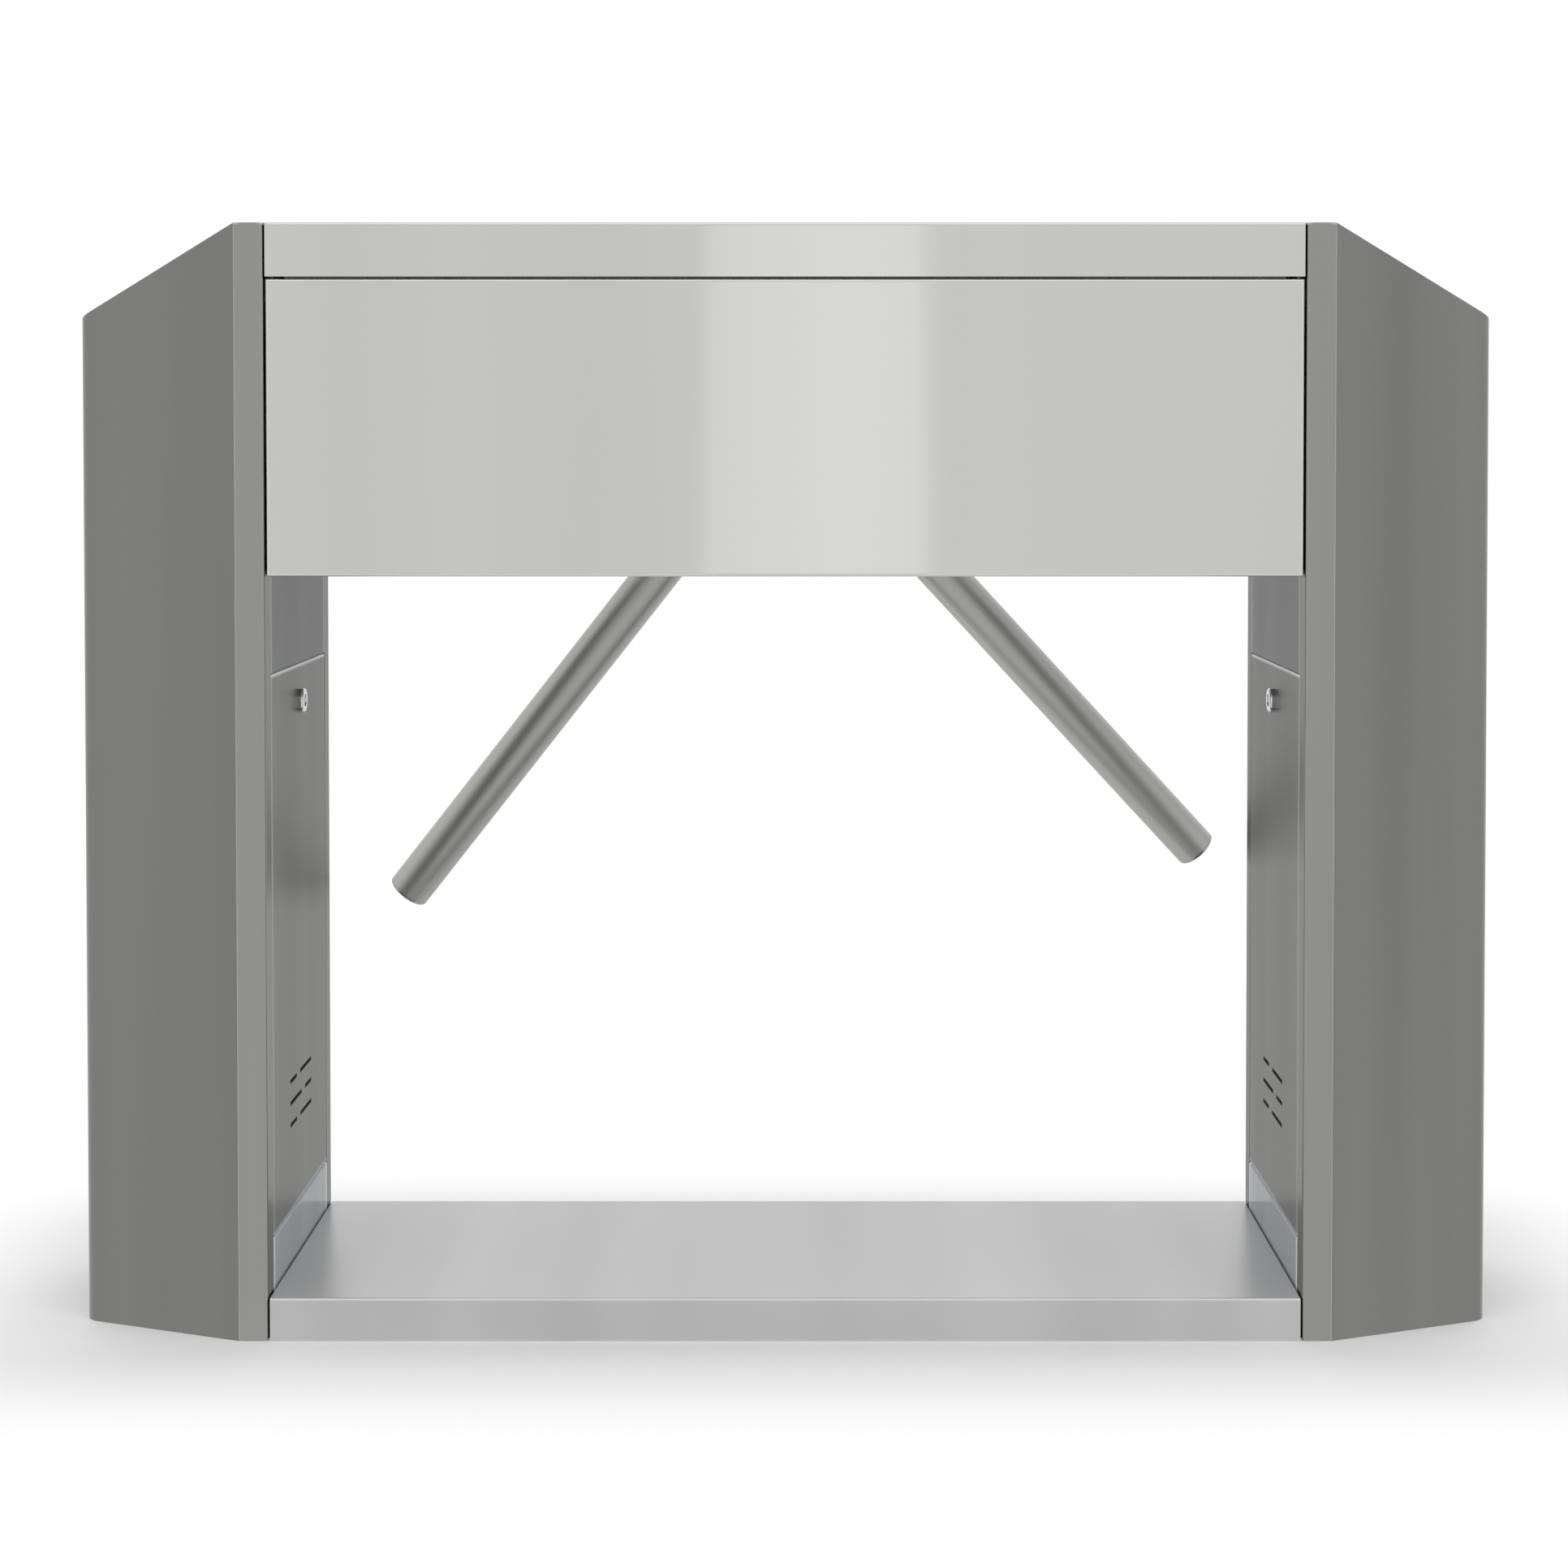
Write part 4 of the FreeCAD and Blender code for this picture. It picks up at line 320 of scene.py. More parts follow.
# The gasket round the sleeve, cut from black rubber and clamped against the back panel.
# Age gives the rubber a dusty grey bloom.
rubber, tree, soft, spot = blank_finish("gasket_black_rubber")
bloom_size = 0.011
bloom = add(tree, "ShaderNodeTexNoise", {"Vector": spot, "Scale": 1 / bloom_size, "Detail": 5.0})
tint = add(tree, "ShaderNodeMix", {share: bloom.outputs[0], colour_a: linear("#1A1A1A"),
                                   colour_b: linear("#333332")}, data_type="RGBA")
tree.links.new(tint.outputs[mixed_colour], soft.inputs["Base Color"])
soft.inputs["Roughness"].default_value = 0.8
dress(rubber, "sleeve_seal")

# The cast hub, the sleeve that carries it and the flat end caps of the arms, polished stainless.
# Handling leaves smears that dull the polish in patches.
cast_steel, tree, metal, spot = blank_finish("polished_cast_steel")
smear_size = 0.05
smears = add(tree, "ShaderNodeTexNoise", {"Vector": spot, "Scale": 1 / smear_size, "Detail": 4.0})
tint = add(tree, "ShaderNodeMix", {share: smears.outputs[0], colour_a: linear("#92928F"),
                                   colour_b: linear("#A6A6A2")}, data_type="RGBA")
handled = add(tree, "ShaderNodeMapRange", {"Value": smears.outputs[0], "To Min": 0.14, "To Max": 0.28})
tree.links.new(tint.outputs[mixed_colour], metal.inputs["Base Color"])
tree.links.new(handled.outputs[0], metal.inputs["Roughness"])
metal.inputs["Metallic"].default_value = 1.0
dress(cast_steel, "hub", "bearing_housing", "arm_caps")

# The three arms, drawn stainless tube pushed on the hub's spigots.
# The tube is polished along its length, which leaves long light and dark streaks on it, and hands dull
# it a little. The hairs of the polish are drawn wider than they are, so that they show.
streak_width = 0.02
streak_length = 1.4
hair_width = 0.0012
hair_length = 0.12
hair_depth = 0.00003
streak_scale = (1 / streak_width, 1 / streak_width, 1 / streak_length)
hair_scale = (1 / hair_width, 1 / hair_width, 1 / hair_length)
upward = Vector((0, 0, 1))
spin = next(joint for joint in frame["joints"] if joint["name"] == "tripod_spin")
apex = Vector(spin["pos_m"])
arm_ways = []
for arm in ("barrier_arm_1", "barrier_arm_2", "barrier_arm_3"):
    drawn_tube, tree, metal, spot = blank_finish(f"drawn_tube_of_{arm}")
    low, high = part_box(arm)
    arm_ways.append(((low + high) / 2 - apex).normalized())
    lie = arm_ways[-1].rotation_difference(upward)
    on_axis = add(tree, "ShaderNodeMapping", {"Vector": spot, "Rotation": lie.to_euler(),
                                              "Location": -(lie @ apex)})
    drawn = add(tree, "ShaderNodeMapping", {"Vector": on_axis.outputs[0], "Scale": streak_scale})
    combed = add(tree, "ShaderNodeMapping", {"Vector": on_axis.outputs[0], "Scale": hair_scale})
    streaks = add(tree, "ShaderNodeTexNoise", {"Vector": drawn.outputs[0], "Scale": 1.0, "Detail": 1.0})
    hairs = add(tree, "ShaderNodeTexNoise", {"Vector": combed.outputs[0], "Scale": 1.0, "Detail": 1.0})
    depth = add(tree, "ShaderNodeMapRange", {"Value": streaks.outputs[0], "From Min": 0.32, "From Max": 0.68})
    tint = add(tree, "ShaderNodeMix", {share: depth.outputs[0], colour_a: linear("#9C9C98"),
                                       colour_b: linear("#B8B8B3")}, data_type="RGBA")
    worn = add(tree, "ShaderNodeMapRange", {"Value": streaks.outputs[0], "To Min": 0.34, "To Max": 0.44})
    relief = add(tree, "ShaderNodeBump", {"Strength": 0.02, "Distance": hair_depth,
                                          "Height": hairs.outputs[0]})
    tree.links.new(tint.outputs[mixed_colour], metal.inputs["Base Color"])
    tree.links.new(worn.outputs[0], metal.inputs["Roughness"])
    tree.links.new(relief.outputs[0], metal.inputs["Normal"])
    metal.inputs["Metallic"].default_value = 0.78
    dress(drawn_tube, arm)

# Fasteners, cold-headed steel under bright zinc that tarnishes in spots. Hexagon bolts with nuts tie the
# beam to the columns, socket screws hold the covers, the mechanism's frame, the housing and the motor,
# and the hub has one long socket screw in its nose and a set screw for each arm.
fastener, tree, metal, spot = blank_finish("bright_zinc_fastener")
tarnish_size = 0.005
tarnish = add(tree, "ShaderNodeTexNoise", {"Vector": spot, "Scale": 1 / tarnish_size, "Detail": 2.0})
tint = add(tree, "ShaderNodeMix", {share: tarnish.outputs[0], colour_a: linear("#8E8F8C"),
                                   colour_b: linear("#B4B4AF")}, data_type="RGBA")
tree.links.new(tint.outputs[mixed_colour], metal.inputs["Base Color"])
metal.inputs["Metallic"].default_value = 1.0
metal.inputs["Roughness"].default_value = 0.3

fastener_tree = bpy.data.node_groups.new("fastener_maker", "GeometryNodeTree")
fastener_tree.interface.new_socket("Points", in_out="INPUT", socket_type="NodeSocketGeometry")
fastener_tree.interface.new_socket("Sides", in_out="INPUT", socket_type="NodeSocketInt")
for name in ("Head Radius", "Head Height", "Key Radius", "Shank Radius", "Grip", "Nut Radius", "Nut Height"):
    fastener_tree.interface.new_socket(name, in_out="INPUT", socket_type="NodeSocketFloat")
fastener_tree.interface.new_socket("Finish", in_out="INPUT", socket_type="NodeSocketMaterial")
fastener_tree.interface.new_socket("Fasteners", in_out="OUTPUT", socket_type="NodeSocketGeometry")
given = add(fastener_tree, "NodeGroupInput", {}).outputs
round_sides = 32
small_sides = 24
shank_sides = 20
hexagon = 6


def bar(corners, foot, top, height, start):
    """An upright bar of so many corners that stands on the level start, with a radius at each end."""
    cone = add(fastener_tree, "GeometryNodeMeshCone", {"Vertices": corners, "Radius Top": top,
                                                       "Radius Bottom": foot, "Depth": height})
    rise = add(fastener_tree, "ShaderNodeCombineXYZ", {"Z": start})
    return add(fastener_tree, "GeometryNodeTransform", {"Geometry": cone.outputs[0],
                                                        "Translation": rise.outputs[0]}).outputs[0]


# A steep cone cuts the chamfer of a head. The key, the shank's hold in the head and the nut follow from
# the sizes of the head and the nut.
worked_out = {}
for name, measure, factor in (("chamfer_top", "Head Radius", 0.76), ("chamfer_foot", "Head Radius", 1.8),
                              ("chamfer_height", "Head Height", 1.3), ("chamfer_start", "Head Height", -0.25),
                              ("key_start", "Head Height", 0.45), ("hold", "Head Height", 0.2),
                              ("nut_height", "Nut Height", 0.85)):
    product = add(fastener_tree, "ShaderNodeMath", {0: given[measure], 1: factor}, operation="MULTIPLY")
    worked_out[name] = product.outputs[0]
blank = bar(given["Sides"], given["Head Radius"], given["Head Radius"], given["Head Height"], 0.0)
cutter = bar(round_sides, worked_out["chamfer_foot"], worked_out["chamfer_top"], worked_out["chamfer_height"],
             worked_out["chamfer_start"])
chamfered = add(fastener_tree, "GeometryNodeMeshBoolean", {"Mesh 2": blank}, operation="INTERSECT")
fastener_tree.links.new(cutter, chamfered.inputs["Mesh 2"])
key = bar(hexagon, given["Key Radius"], given["Key Radius"], given["Head Height"], worked_out["key_start"])
socketed = add(fastener_tree, "GeometryNodeMeshBoolean", {"Mesh 1": chamfered.outputs[0], "Mesh 2": key},
               operation="DIFFERENCE")
head = add(fastener_tree, "GeometryNodeSwitch", {"Switch": given["Key Radius"], "False": chamfered.outputs[0],
                                                 "True": socketed.outputs[0]}, input_type="GEOMETRY")
reach = add(fastener_tree, "ShaderNodeMath", {0: given["Grip"], 1: given["Nut Height"]}, operation="ADD")
shank_length = add(fastener_tree, "ShaderNodeMath", {0: reach.outputs[0], 1: worked_out["hold"]},
                   operation="ADD")
shank_start = add(fastener_tree, "ShaderNodeMath", {0: reach.outputs[0], 1: -1.0}, operation="MULTIPLY")
shank = bar(shank_sides, given["Shank Radius"], given["Shank Radius"], shank_length.outputs[0],
            shank_start.outputs[0])
nut_end = add(fastener_tree, "ShaderNodeMath", {0: given["Grip"], 1: worked_out["nut_height"]},
              operation="ADD")
nut_start = add(fastener_tree, "ShaderNodeMath", {0: nut_end.outputs[0], 1: -1.0}, operation="MULTIPLY")
nut_blank = bar(hexagon, given["Nut Radius"], given["Nut Radius"], worked_out["nut_height"],
                nut_start.outputs[0])
nut = add(fastener_tree, "GeometryNodeSwitch", {"Switch": given["Nut Height"], "True": nut_blank},
          input_type="GEOMETRY")
whole = add(fastener_tree, "GeometryNodeJoinGeometry", {"Geometry": head.outputs[0]})
fastener_tree.links.new(shank, whole.inputs["Geometry"])
fastener_tree.links.new(nut.outputs[0], whole.inputs["Geometry"])
faceted = add(fastener_tree, "GeometryNodeSetShadeSmooth", {"Geometry": whole.outputs[0],
                                                            "Shade Smooth": False})
lift = add(fastener_tree, "GeometryNodeInputNamedAttribute", {"Name": "lift"}, data_type="FLOAT_VECTOR")
stand = add(fastener_tree, "FunctionNodeAlignRotationToVector", {"Vector": lift.outputs[0]}, axis="Z")
placed = add(fastener_tree, "GeometryNodeInstanceOnPoints",
             {"Points": given["Points"], "Instance": faceted.outputs[0], "Rotation": stand.outputs[0]})
real = add(fastener_tree, "GeometryNodeRealizeInstances", {"Geometry": placed.outputs[0]})
plated = add(fastener_tree, "GeometryNodeSetMaterial", {"Geometry": real.outputs[0],
                                                        "Material": given["Finish"]})
add(fastener_tree, "NodeGroupOutput", {"Fasteners": plated.outputs[0]})


def fasten(name, body, seats, **sizes):
    """One mesh of fasteners: each seat is the point under a head and the way that the head faces.

    A fastener with no key radius has no socket, and one with no nut height has no nut.
    """
    seeds = bpy.data.meshes.new(f"{name}_seats")
    seeds.from_pydata([point for point, way in seats], [], [])
    ways = seeds.attributes.new("lift", "FLOAT_VECTOR", "POINT")
    for row, (point, way) in zip(ways.data, seats):
        row.vector = way
    holder = bpy.data.objects.new(f"{name}_seats", seeds)
    bpy.context.scene.collection.objects.link(holder)
    maker = holder.modifiers.new("fasteners", "NODES")
    maker.node_group = fastener_tree
    sizes = {label.replace("_", " ").title(): value for label, value in sizes.items()}
    for socket in fastener_tree.interface.items_tree:
        if socket.name == "Finish":
            maker[socket.identifier] = fastener
        elif socket.name in sizes:
            maker[socket.identifier] = sizes[socket.name]
    made = holder.evaluated_get(bpy.context.evaluated_depsgraph_get())
    piece = bpy.data.objects.new(name, bpy.data.meshes.new_from_object(made))
    bpy.data.objects.remove(holder)
    bpy.context.scene.collection.objects.link(piece)
    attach(piece, body)
    return piece


def solids(node):
    """The corners of each separate solid of a CAD node."""
    copy = bmesh.new()
    copy.from_mesh(nodes[node].data)
    bmesh.ops.remove_doubles(copy, verts=copy.verts, dist=1e-6)
    left = dict.fromkeys(copy.verts)
    found = []
    while left:
        group = [left.popitem()[0]]
        for vertex in group:
            for edge in vertex.link_edges:
                other = edge.other_vert(vertex)
                if other in left:
                    del left[other]
                    group.append(other)
        found.append([vertex.co.copy() for vertex in group])
    copy.free()
    return found


def seat(corners, way, head_height):
    """The point on a fastener's axis at the underside of its head, and the way that the head faces."""
    middle = sum(corners, Vector()) / len(corners)
    top = max(corner.dot(way) for corner in corners)
    return middle + way * (top - head_height - middle.dot(way)), way


def inward(corners):
    """The way from a fastener's own column to the middle of the turnstile."""
    return Vector((-math.copysign(1, corners[0].x), 0, 0))


bolt_head = 0.005
bolt_seats = [seat(one, inward(one), bolt_head) for one in solids("beam_bolts")]
bolts = fasten("hexagon_beam_bolts", "frame", bolt_seats, sides=hexagon, head_radius=0.0065,
               head_height=bolt_head, shank_radius=0.004, grip=0.005, nut_radius=0.0065, nut_height=0.005)
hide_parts("beam_bolts")
cover_head = 0.003
cover_seats = [seat(one, inward(one), cover_head) for one in solids("cover_screws")]
cover_screws = fasten("cover_socket_screws", "frame", cover_seats, sides=round_sides, head_radius=0.0045,
                      head_height=cover_head, key_radius=0.0018, shank_radius=0.0025, grip=0.004,
                      nut_radius=0.0045, nut_height=0.004)
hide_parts("cover_screws")
frame_head = 0.005
frame_seats = [seat(one, upward, frame_head) for one in solids("frame_screws")]
frame_screws = fasten("frame_socket_screws", "frame", frame_seats, sides=round_sides, head_radius=0.0065,
                      head_height=frame_head, key_radius=0.0029, shank_radius=0.004, grip=0.008)
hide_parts("frame_screws")
outward = Vector(spin["axis"])
plate_head = 0.0036
plate_seats = [seat(one, -outward, plate_head) for one in solids("plate_screws")]
plate_screws = fasten("plate_socket_screws", "frame", plate_seats, sides=round_sides, head_radius=0.005,
                      head_height=plate_head, key_radius=0.0023, shank_radius=0.003, grip=0.014)
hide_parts("plate_screws")
centre_solid, *side_solids = sorted(solids("hub_screws"), key=len, reverse=True)
hub_head = 0.008
hub_screw = fasten("hub_socket_screw", "tripod", [seat(centre_solid, outward, hub_head)], sides=round_sides,
                   head_radius=0.008, head_height=hub_head, key_radius=0.0046, shank_radius=0.005, grip=0.042)
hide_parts("hub_screws")
set_screw_length = 0.0097
set_seats = []
for one in side_solids:
    from_apex = sum(one, Vector()) / len(one) - apex
    arm_way = max(arm_ways, key=from_apex.dot)
    off_arm = (from_apex - arm_way * from_apex.dot(arm_way)).normalized()
    set_seats.append(seat(one, off_arm, set_screw_length))
set_screws = fasten("arm_set_screws", "tripod", set_seats, sides=small_sides, head_radius=0.004,
                    head_height=set_screw_length, key_radius=0.0023, shank_radius=0.003, grip=0.0)
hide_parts("hub_screws")

# The controller and sensor cards, green solder mask over fibreglass with copper tracks under it, drawn
# wider than they are, so that they show. The controller stands on nylon posts and carries dark relays
# and a grey terminal strip, soldered on.
mask, tree, board, spot = blank_finish("green_solder_mask")
track_pitch = 0.00754
radians_at_scale_one = 20
track_scale = math.tau / radians_at_scale_one / track_pitch
tracks = add(tree, "ShaderNodeTexWave", {"Vector": spot, "Scale": track_scale, "Distortion": 6.0,
                                         "Detail": 1.0})
lacquer = add(tree, "ShaderNodeMix", {share: tracks.outputs[1], colour_a: linear("#15512F"),
                                      colour_b: linear("#1F6B3C")}, data_type="RGBA")
card_thickness = 0.0016
relay_height = 0.018
terminal_height = 0.012
between_cards = -0.2
between_rows = 0.0
skin = 0.0002
card_low, card_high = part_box("control_board")
card_top = card_high.z - relay_height
card_foot = card_top - card_thickness
place = add(tree, "ShaderNodeSeparateXYZ", {0: spot}).outputs
on_controller = add(tree, "ShaderNodeMath", {0: place["X"], 1: between_cards}, operation="LESS_THAN")
above = add(tree, "ShaderNodeMath", {0: place["Z"], 1: card_top + skin}, operation="GREATER_THAN")
below = add(tree, "ShaderNodeMath", {0: place["Z"], 1: card_foot - skin}, operation="LESS_THAN")
raised = add(tree, "ShaderNodeMath", {0: above.outputs[0], 1: on_controller.outputs[0]},
             operation="MULTIPLY")
propped = add(tree, "ShaderNodeMath", {0: below.outputs[0], 1: on_controller.outputs[0]},
              operation="MULTIPLY")
relay_row = add(tree, "ShaderNodeMath", {0: place["Y"], 1: between_rows}, operation="GREATER_THAN")
moulding = add(tree, "ShaderNodeMix", {share: relay_row.outputs[0], colour_a: linear("#8F9492"),
                                       colour_b: linear("#23262C")}, data_type="RGBA")
fitted = add(tree, "ShaderNodeMix", {share: raised.outputs[0], colour_a: lacquer.outputs[mixed_colour],
                                     colour_b: moulding.outputs[mixed_colour]}, data_type="RGBA")
tint = add(tree, "ShaderNodeMix", {share: propped.outputs[0], colour_a: fitted.outputs[mixed_colour],
                                   colour_b: linear("#D6D3C8")}, data_type="RGBA")
tree.links.new(tint.outputs[mixed_colour], board.inputs["Base Color"])
board.inputs["Roughness"].default_value = 0.35
dress(mask, "control_board", "sensor_board")
card_x = (card_low.x + card_high.x) / 2
strip_y = card_low.y + terminal_height / 2
terminal_count = 12
terminal_pitch = 0.01
terminals = []
for step in range(terminal_count):
    along = (step - (terminal_count - 1) / 2) * terminal_pitch
    terminals.append((Vector((card_x + along, strip_y, card_top + terminal_height)), upward))
fasten("controller_terminal_screws", "frame", terminals, sides=small_sides, head_radius=0.0026,
       head_height=0.0009, key_radius=0.0012, shank_radius=0.0015, grip=0.004)

# Parts on the controller card: moulded chips on rows of tinned legs, and sleeved capacitors.
# They are soldered to the card between the relays and the terminal strip.
# The grit of the mould is drawn coarser than it is, so that it shows.
epoxy, tree, plastic, spot = blank_finish("moulded_black_epoxy")
grit_size = 0.0006
grit_depth = 0.00005
grit = add(tree, "ShaderNodeTexNoise", {"Vector": spot, "Scale": 1 / grit_size, "Detail": 2.0})
relief = add(tree, "ShaderNodeBump", {"Strength": 0.25, "Distance": grit_depth, "Height": grit.outputs[0]})
tree.links.new(relief.outputs[0], plastic.inputs["Normal"])
plastic.inputs["Base Color"].default_value = linear("#1B1C1E")
plastic.inputs["Roughness"].default_value = 0.55
parts = bmesh.new()


def block(middle, size, bevel, finish):
    """A moulded block with eased edges."""
    made = bmesh.ops.create_cube(parts, size=1.0)["verts"]
    bmesh.ops.scale(parts, vec=size, verts=made)
    bmesh.ops.translate(parts, vec=middle, verts=made)
    edges = list(dict.fromkeys(edge for vertex in made for edge in vertex.link_edges))
    eased = bmesh.ops.bevel(parts, geom=edges, offset=bevel, segments=2, affect="EDGES", profile=0.5)
    for vertex in eased["verts"]:
        for face in vertex.link_faces:
            face.material_index = finish


epoxy_finish, tinned_finish = 0, 1
chips = ((-0.045, 0.012), (0.0, 0.02), (0.045, 0.012))
chip_y = -0.018
chip_height = 0.0026
chip_lift = 0.0004
chip_bevel = 0.0003
leg_pitch = 0.00127
leg_size = (0.0005, 0.0016, 0.0012)
leg_bevel = 0.0001
leg_overhang = 0.0006
for chip_x, chip_size in chips:
    middle = Vector((card_x + chip_x, chip_y, card_top + chip_lift + chip_height / 2))
    block(middle, (chip_size, chip_size, chip_height), chip_bevel, epoxy_finish)
    legs = int(chip_size / leg_pitch) - 1
    for step in range(legs):
        along = (step - (legs - 1) / 2) * leg_pitch
        for side in (-1, 1):
            leg_y = chip_y + side * (chip_size / 2 + leg_overhang)
            leg = Vector((card_x + chip_x + along, leg_y, card_top + leg_size[2] / 2))
            block(leg, leg_size, leg_bevel, tinned_finish)
capacitor_radius = 0.005
capacitor_height = 0.0115
capacitor_steps = 20
capacitor_side = 0.07
capacitor_rows = (0.014, 0.03)
capacitor_line = ((0.0, 0.0), (1.0, 0.0), (1.0, 0.16), (0.92, 0.2), (1.0, 0.24), (1.0, 0.95), (0.93, 1.0),
                  (0.0, 1.0))
for can_x in (card_x - capacitor_side, card_x + capacitor_side):
    for can_y in capacitor_rows:
        line = [parts.verts.new((can_x + out * capacitor_radius, can_y, card_top + up * capacitor_height))
                for out, up in capacitor_line]
        path = [parts.edges.new(pair) for pair in zip(line, line[1:])]
        bmesh.ops.spin(parts, geom=line + path, cent=(can_x, can_y, 0), axis=upward, angle=math.tau,
                       steps=capacitor_steps, use_merge=True)
bmesh.ops.remove_doubles(parts, verts=parts.verts, dist=1e-6)
bmesh.ops.recalc_face_normals(parts, faces=parts.faces)
parts_mesh = bpy.data.meshes.new("controller_card_parts")
parts.to_mesh(parts_mesh)
parts.free()
parts_mesh.materials.append(epoxy)
parts_mesh.materials.append(fastener)
card_parts = bpy.data.objects.new("controller_card_parts", parts_mesh)
bpy.context.scene.collection.objects.link(card_parts)
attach(card_parts, "frame")

# The power supply's case, folded aluminium in plain mill finish. Its rows of air holes are dark dots of
# painted shade.
# Its wires are clamped under a row of screws in the recess at its end.
supply_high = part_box("power_supply")[1]
case = satin_sheet("mill_aluminium_with_painted_holes", shade="#BFC1C3", light="#CDCECF", roughness=0.36, run="X",
                   bands=(0.05, 0.05, 0.05))
tree = case.node_tree
spot = next(node for node in tree.nodes if node.type == "TEX_COORD").outputs["Object"]
metal = tree.nodes["Principled BSDF"]
plain = metal.inputs["Base Color"].links[0].from_socket
hole_pitch = 0.006
hole_share = 0.3
# The air holes are painted shade: dark dots in the colour, with no holes in the case.
holes = add(tree, "ShaderNodeTexVoronoi", {"Vector": spot, "Scale": 1 / hole_pitch, "Randomness": 0.0})
painted_hole_dots = add(tree, "ShaderNodeMath", {0: holes.outputs["Distance"], 1: hole_share}, operation="LESS_THAN")
tint = add(tree, "ShaderNodeMix", {share: painted_hole_dots.outputs[0], colour_a: plain, colour_b: linear("#1E1F20")},
           data_type="RGBA")
tree.links.new(tint.outputs[mixed_colour], metal.inputs["Base Color"])
dress(case, "power_supply")
clamp_count = 6
clamp_pitch = 0.011
clamp_x = supply_high.x - terminal_height / 2
clamps = []
for step in range(clamp_count):
    clamp_y = (step - (clamp_count - 1) / 2) * clamp_pitch
    clamps.append((Vector((clamp_x, clamp_y, supply_high.z - terminal_height)), upward))
fasten("supply_terminal_screws", "frame", clamps, sides=small_sides, head_radius=0.0036, head_height=0.0022,
       key_radius=0.0015, shank_radius=0.0017, grip=0.004)

# The beam's lid, a shallow channel of the same sheet as the panels, and its two butt hinges at the back.
# The hinges are pressed from satin strip.
dress(beam_satin, "beam_lid")
hinge_strip = satin_sheet("hinge_satin_strip", shade="#9E9E9C", light="#ADADAB", roughness=0.3, run="X",
                          bands=(0.05, 0.05, 0.05))
dress(hinge_strip, "lid_hinge_leaves", "lid_hinge_wings")

# The service doors, pans of annealed sheet with cut vents, which hands leave duller than the panels above.
# Two tongues at the foot stand in slots of the lower panel, and a cam lock holds the top.
seam = 0.0008
door_low.z = lower_high.z + seam
door_sheet = satin_sheet("annealed_door_sheet", shade="#787A76", light="#848682", roughness=0.3, run="Z",
                         bands=annealed_bands, mirror=0.4, slant="#888888")
# Painted highlights run along the door's side folds, and brighter ones along its top and foot.
paint_fold_highlights(door_sheet, fold_highlight="#B4B6B5", fold_width=0.008, low=door_low, high=door_high, face="X",
          sides="Y", highlight_diffuse=0.5)
paint_fold_highlights(door_sheet, fold_highlight="#F6FAFC", fold_width=0.0045, low=door_low, high=door_high, face="X",
          sides="Z", highlight_diffuse=1.0)
dress(door_sheet, "left_door", "right_door")

# The cam locks, chromed zinc castings with a key slot; the sensor's magnet is plated like them.
# Chrome is nearly a mirror, with a slight haze.
chrome, tree, metal, spot = blank_finish("lock_chrome_plate")
haze_size = 0.008
haze = add(tree, "ShaderNodeTexNoise", {"Vector": spot, "Scale": 1 / haze_size, "Detail": 2.0})
hazed = add(tree, "ShaderNodeMapRange", {"Value": haze.outputs[0], "To Min": 0.05, "To Max": 0.16})
tree.links.new(hazed.outputs[0], metal.inputs["Roughness"])
metal.inputs["Base Color"].default_value = linear("#C6C7C8")
metal.inputs["Metallic"].default_value = 1.0
dress(chrome, "left_lock_body", "right_lock_body", "left_lock_cylinder", "right_lock_cylinder",
      "sensor_magnet")

# The outer cover of each column, one bent sheet with angled front and back and a falling top.
# It is ground upright to a satin, and its colour, darker than the beam's sheet, is painted shade.
cover_sheet = satin_sheet("upright_ground_cover", shade="#777775", light="#838381", roughness=0.28, run="Z",
                          bands=(0.09, 0.09, 2.5))
dress(cover_sheet, "left_cover", "right_cover")

# The reader windows on the sloping tops, smoked acrylic over the reader's aerial.
# Wiping leaves the gloss slightly uneven.
lens, tree, acrylic, spot = blank_finish("smoked_acrylic_lens")
wipe_size = 0.03
wipe = add(tree, "ShaderNodeTexNoise", {"Vector": spot, "Scale": 1 / wipe_size, "Detail": 4.0})
gloss = add(tree, "ShaderNodeMapRange", {"Value": wipe.outputs[0], "To Min": 0.05, "To Max": 0.16})
tree.links.new(gloss.outputs[0], acrylic.inputs["Roughness"])
acrylic.inputs["Base Color"].default_value = linear("#0C0D10")
acrylic.inputs["IOR"].default_value = 1.49
dress(lens, "left_reader_window", "right_reader_window")

# The floor: one wide matt plane that takes the object's soft shadow.
# Away from the object, and in what the metal mirrors, it turns to the white of the surround, so that no
# far edge shows.
floor_half = 60.0
floor_corners = [(-floor_half, -floor_half, 0), (floor_half, -floor_half, 0), (floor_half, floor_half, 0),
                 (-floor_half, floor_half, 0)]
floor_mesh = bpy.data.meshes.new("pale_floor")
floor_mesh.from_pydata(floor_corners, [], [(0, 1, 2, 3)])
floor = bpy.data.objects.new("pale_floor", floor_mesh)
bpy.context.scene.collection.objects.link(floor)
floor_paint, tree, matt, spot = blank_finish("pale_floor_paint")
matt.inputs["Base Color"].default_value = linear("#F4F4F4")
matt.inputs["Roughness"].default_value = 0.9
matt.inputs["Specular IOR Level"].default_value = 0.0
foot = Vector((cad_box[1].x, -cad_box[0].y, 0))
shadow_reach = 0.02
white_reach = 0.25
off_centre = add(tree, "ShaderNodeVectorMath", {0: spot}, operation="ABSOLUTE")
past_foot = add(tree, "ShaderNodeVectorMath", {0: off_centre.outputs[0], 1: foot}, operation="SUBTRACT")
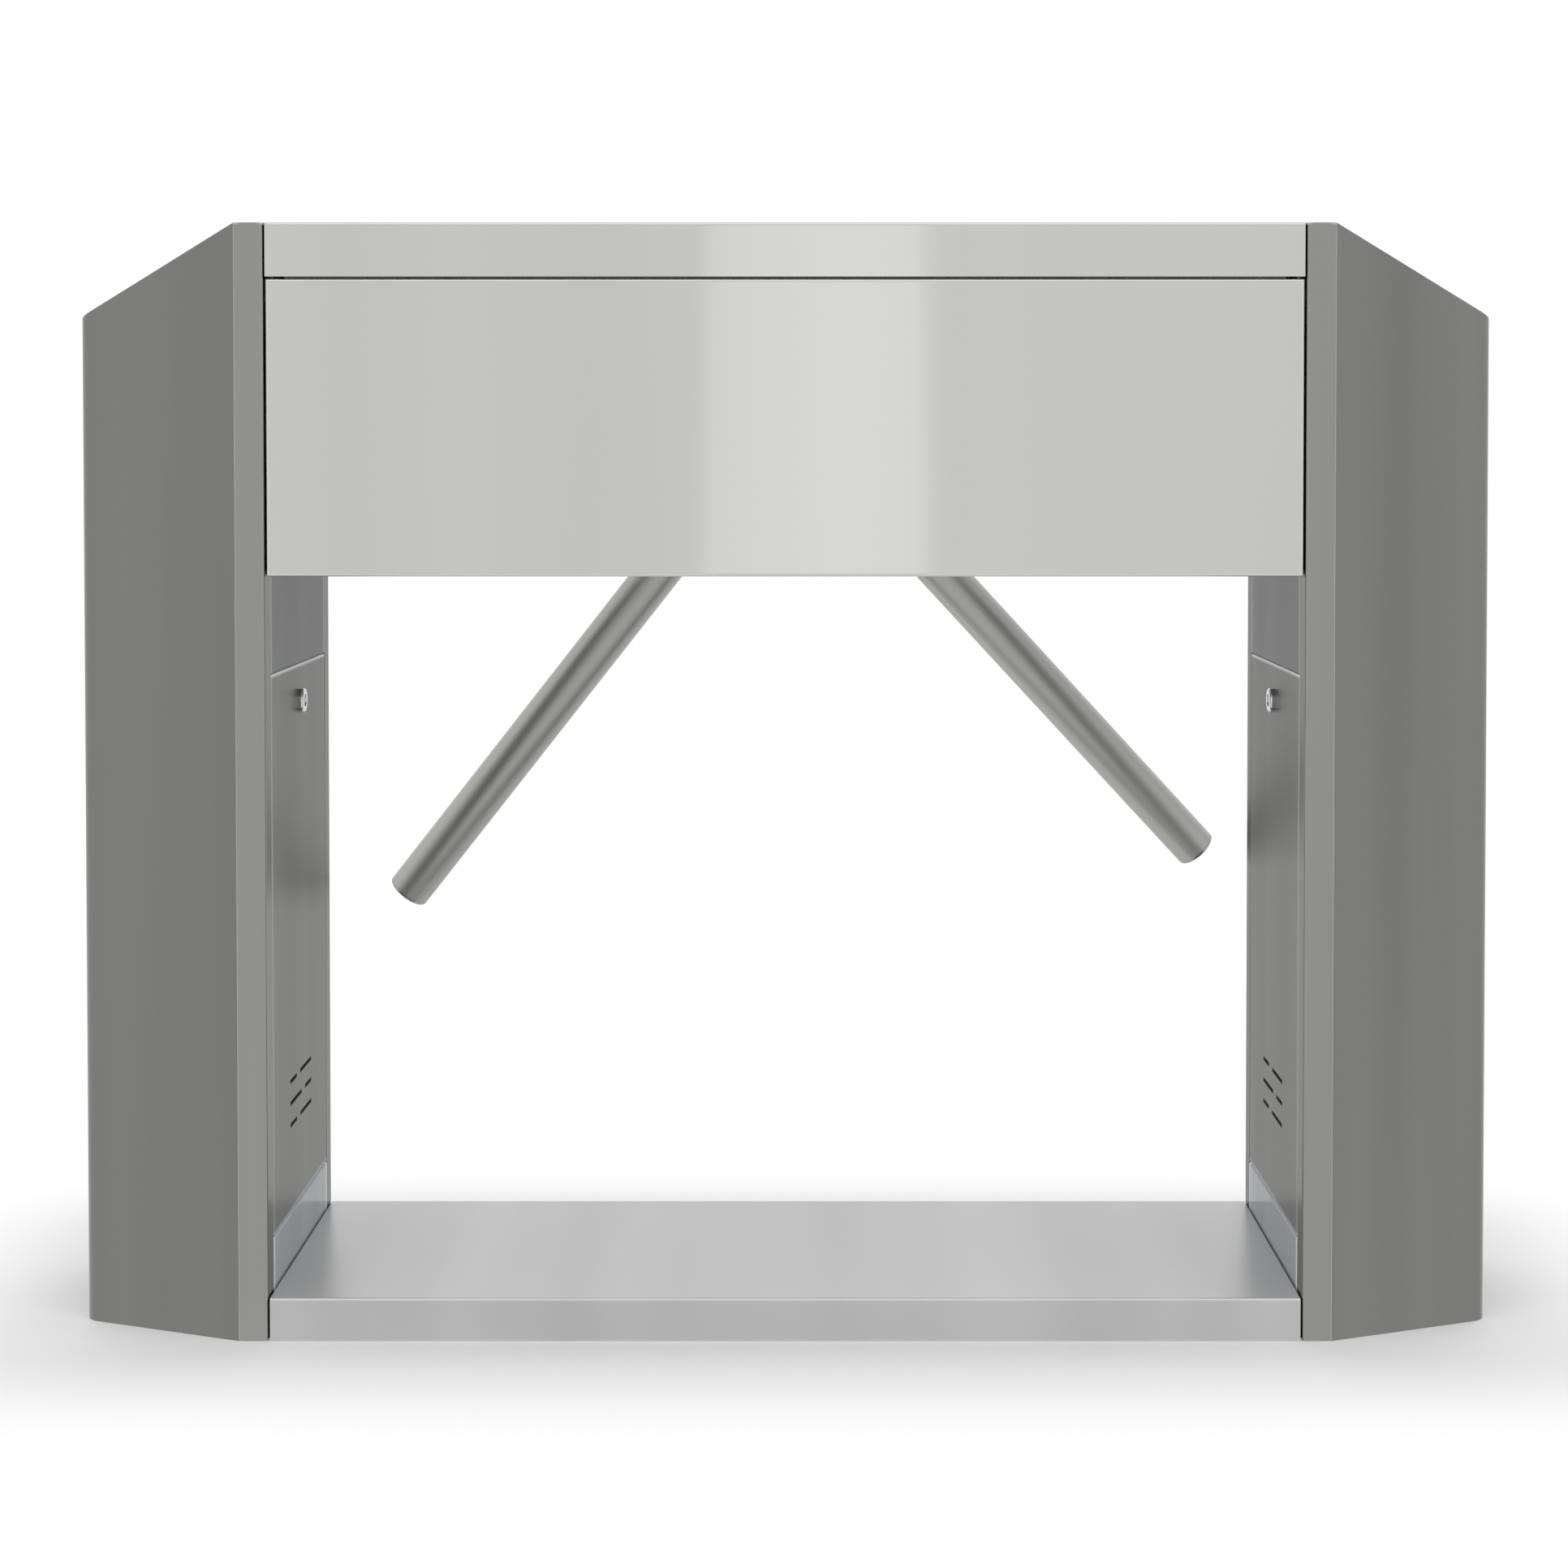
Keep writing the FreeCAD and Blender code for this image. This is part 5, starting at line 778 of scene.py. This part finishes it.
outside = add(tree, "ShaderNodeVectorMath", {0: past_foot.outputs[0], 1: (0, 0, 0)}, operation="MAXIMUM")
far = add(tree, "ShaderNodeVectorMath", {0: outside.outputs[0]}, operation="LENGTH")
fade = add(tree, "ShaderNodeMapRange", {"Value": far.outputs["Value"], "From Min": shadow_reach,
                                        "From Max": white_reach}, interpolation_type="SMOOTHSTEP")
ray = add(tree, "ShaderNodeLightPath", {})
straight = add(tree, "ShaderNodeMath",
               {0: ray.outputs["Is Camera Ray"], 1: ray.outputs["Is Transmission Ray"]}, operation="MAXIMUM")
faded = add(tree, "ShaderNodeMath", {0: fade.outputs[0], 1: straight.outputs[0]}, operation="MULTIPLY")
whitened = add(tree, "ShaderNodeMath", {0: faded.outputs[0], 1: ray.outputs["Is Glossy Ray"]},
               operation="MAXIMUM")
white = add(tree, "ShaderNodeEmission", {"Color": linear("#FFFFFF"), "Strength": 1.0})
blend = add(tree, "ShaderNodeMixShader", {0: whitened.outputs[0], 1: matt.outputs[0], 2: white.outputs[0]})
tree.links.new(blend.outputs[0], tree.nodes["Material Output"].inputs["Surface"])
floor_mesh.materials.append(floor_paint)


# Soft studio light: a broad lamp overhead, a tall strip to each side that draws the bends, one behind,
# and a faint one in front whose reflection stands in the middle of the beam. The surround is plain white.
def lamp(name, place, target, width, height, radiance):
    """A soft rectangular lamp as bright as radiance, where the white surround is 1."""
    light = bpy.data.lights.new(name, "AREA")
    light.shape = "RECTANGLE"
    light.size = width
    light.size_y = height
    light.energy = radiance * math.pi * width * height
    stand = bpy.data.objects.new(name, light)
    stand.location = place
    stand.rotation_euler = (Vector(target) - Vector(place)).to_track_quat("-Z", "Y").to_euler()
    stand.visible_camera = False
    bpy.context.scene.collection.objects.link(stand)


lamp("overhead_softbox", (0, -0.4, 4.5), (0, 0, 0), width=6.0, height=5.0, radiance=0.3)
lamp("left_strip", (-2.5, -3.0, 0.9), (0, 0, 0.5), width=0.3, height=1.8, radiance=0.5)
lamp("right_strip", (2.5, -3.0, 0.9), (0, 0, 0.5), width=0.3, height=1.8, radiance=0.7)
lamp("back_softbox", (0, 5.5, 3.4), (0, 0, 0.5), width=4.0, height=0.8, radiance=1.2)
lamp("front_softbox", (0.034, -4.2, 0.8), (0.034, 0, 0.8), width=0.54, height=2.6, radiance=0.22)

world = bpy.data.worlds.new("white_surround")
world.use_nodes = True
bpy.context.scene.world = world
tree = world.node_tree
lighting_level = 0.95
ray = add(tree, "ShaderNodeLightPath", {})
looked_at = add(tree, "ShaderNodeMath", {0: ray.outputs["Is Camera Ray"], 1: ray.outputs["Is Glossy Ray"]},
                operation="MAXIMUM")
seen = add(tree, "ShaderNodeMath", {0: looked_at.outputs[0], 1: ray.outputs["Is Transmission Ray"]},
           operation="MAXIMUM")
level = add(tree, "ShaderNodeMapRange", {"Value": seen.outputs[0], "To Min": lighting_level, "To Max": 1.0})
surround = tree.nodes["Background"]
surround.inputs["Color"].default_value = linear("#FFFFFF")
tree.links.new(level.outputs[0], surround.inputs["Strength"])

# The camera: at the photograph's place, at four fifths of the object's height, looking along +Y.
# It tilts down slightly, and its shift frames the object as the photograph does.
camera_tilt = 1.38
camera_data = bpy.data.cameras.new("camera")
camera_data.lens = 58.34
camera_data.shift_x = -0.0177
camera_data.shift_y = -0.17
camera = bpy.data.objects.new("camera", camera_data)
camera.location = (0.0238, -2.4083, 0.7926)
camera.rotation_euler = (math.radians(90 - camera_tilt), 0, 0)
bpy.context.scene.collection.objects.link(camera)
bpy.context.scene.camera = camera
bpy.context.scene.view_settings.view_transform = "Standard"
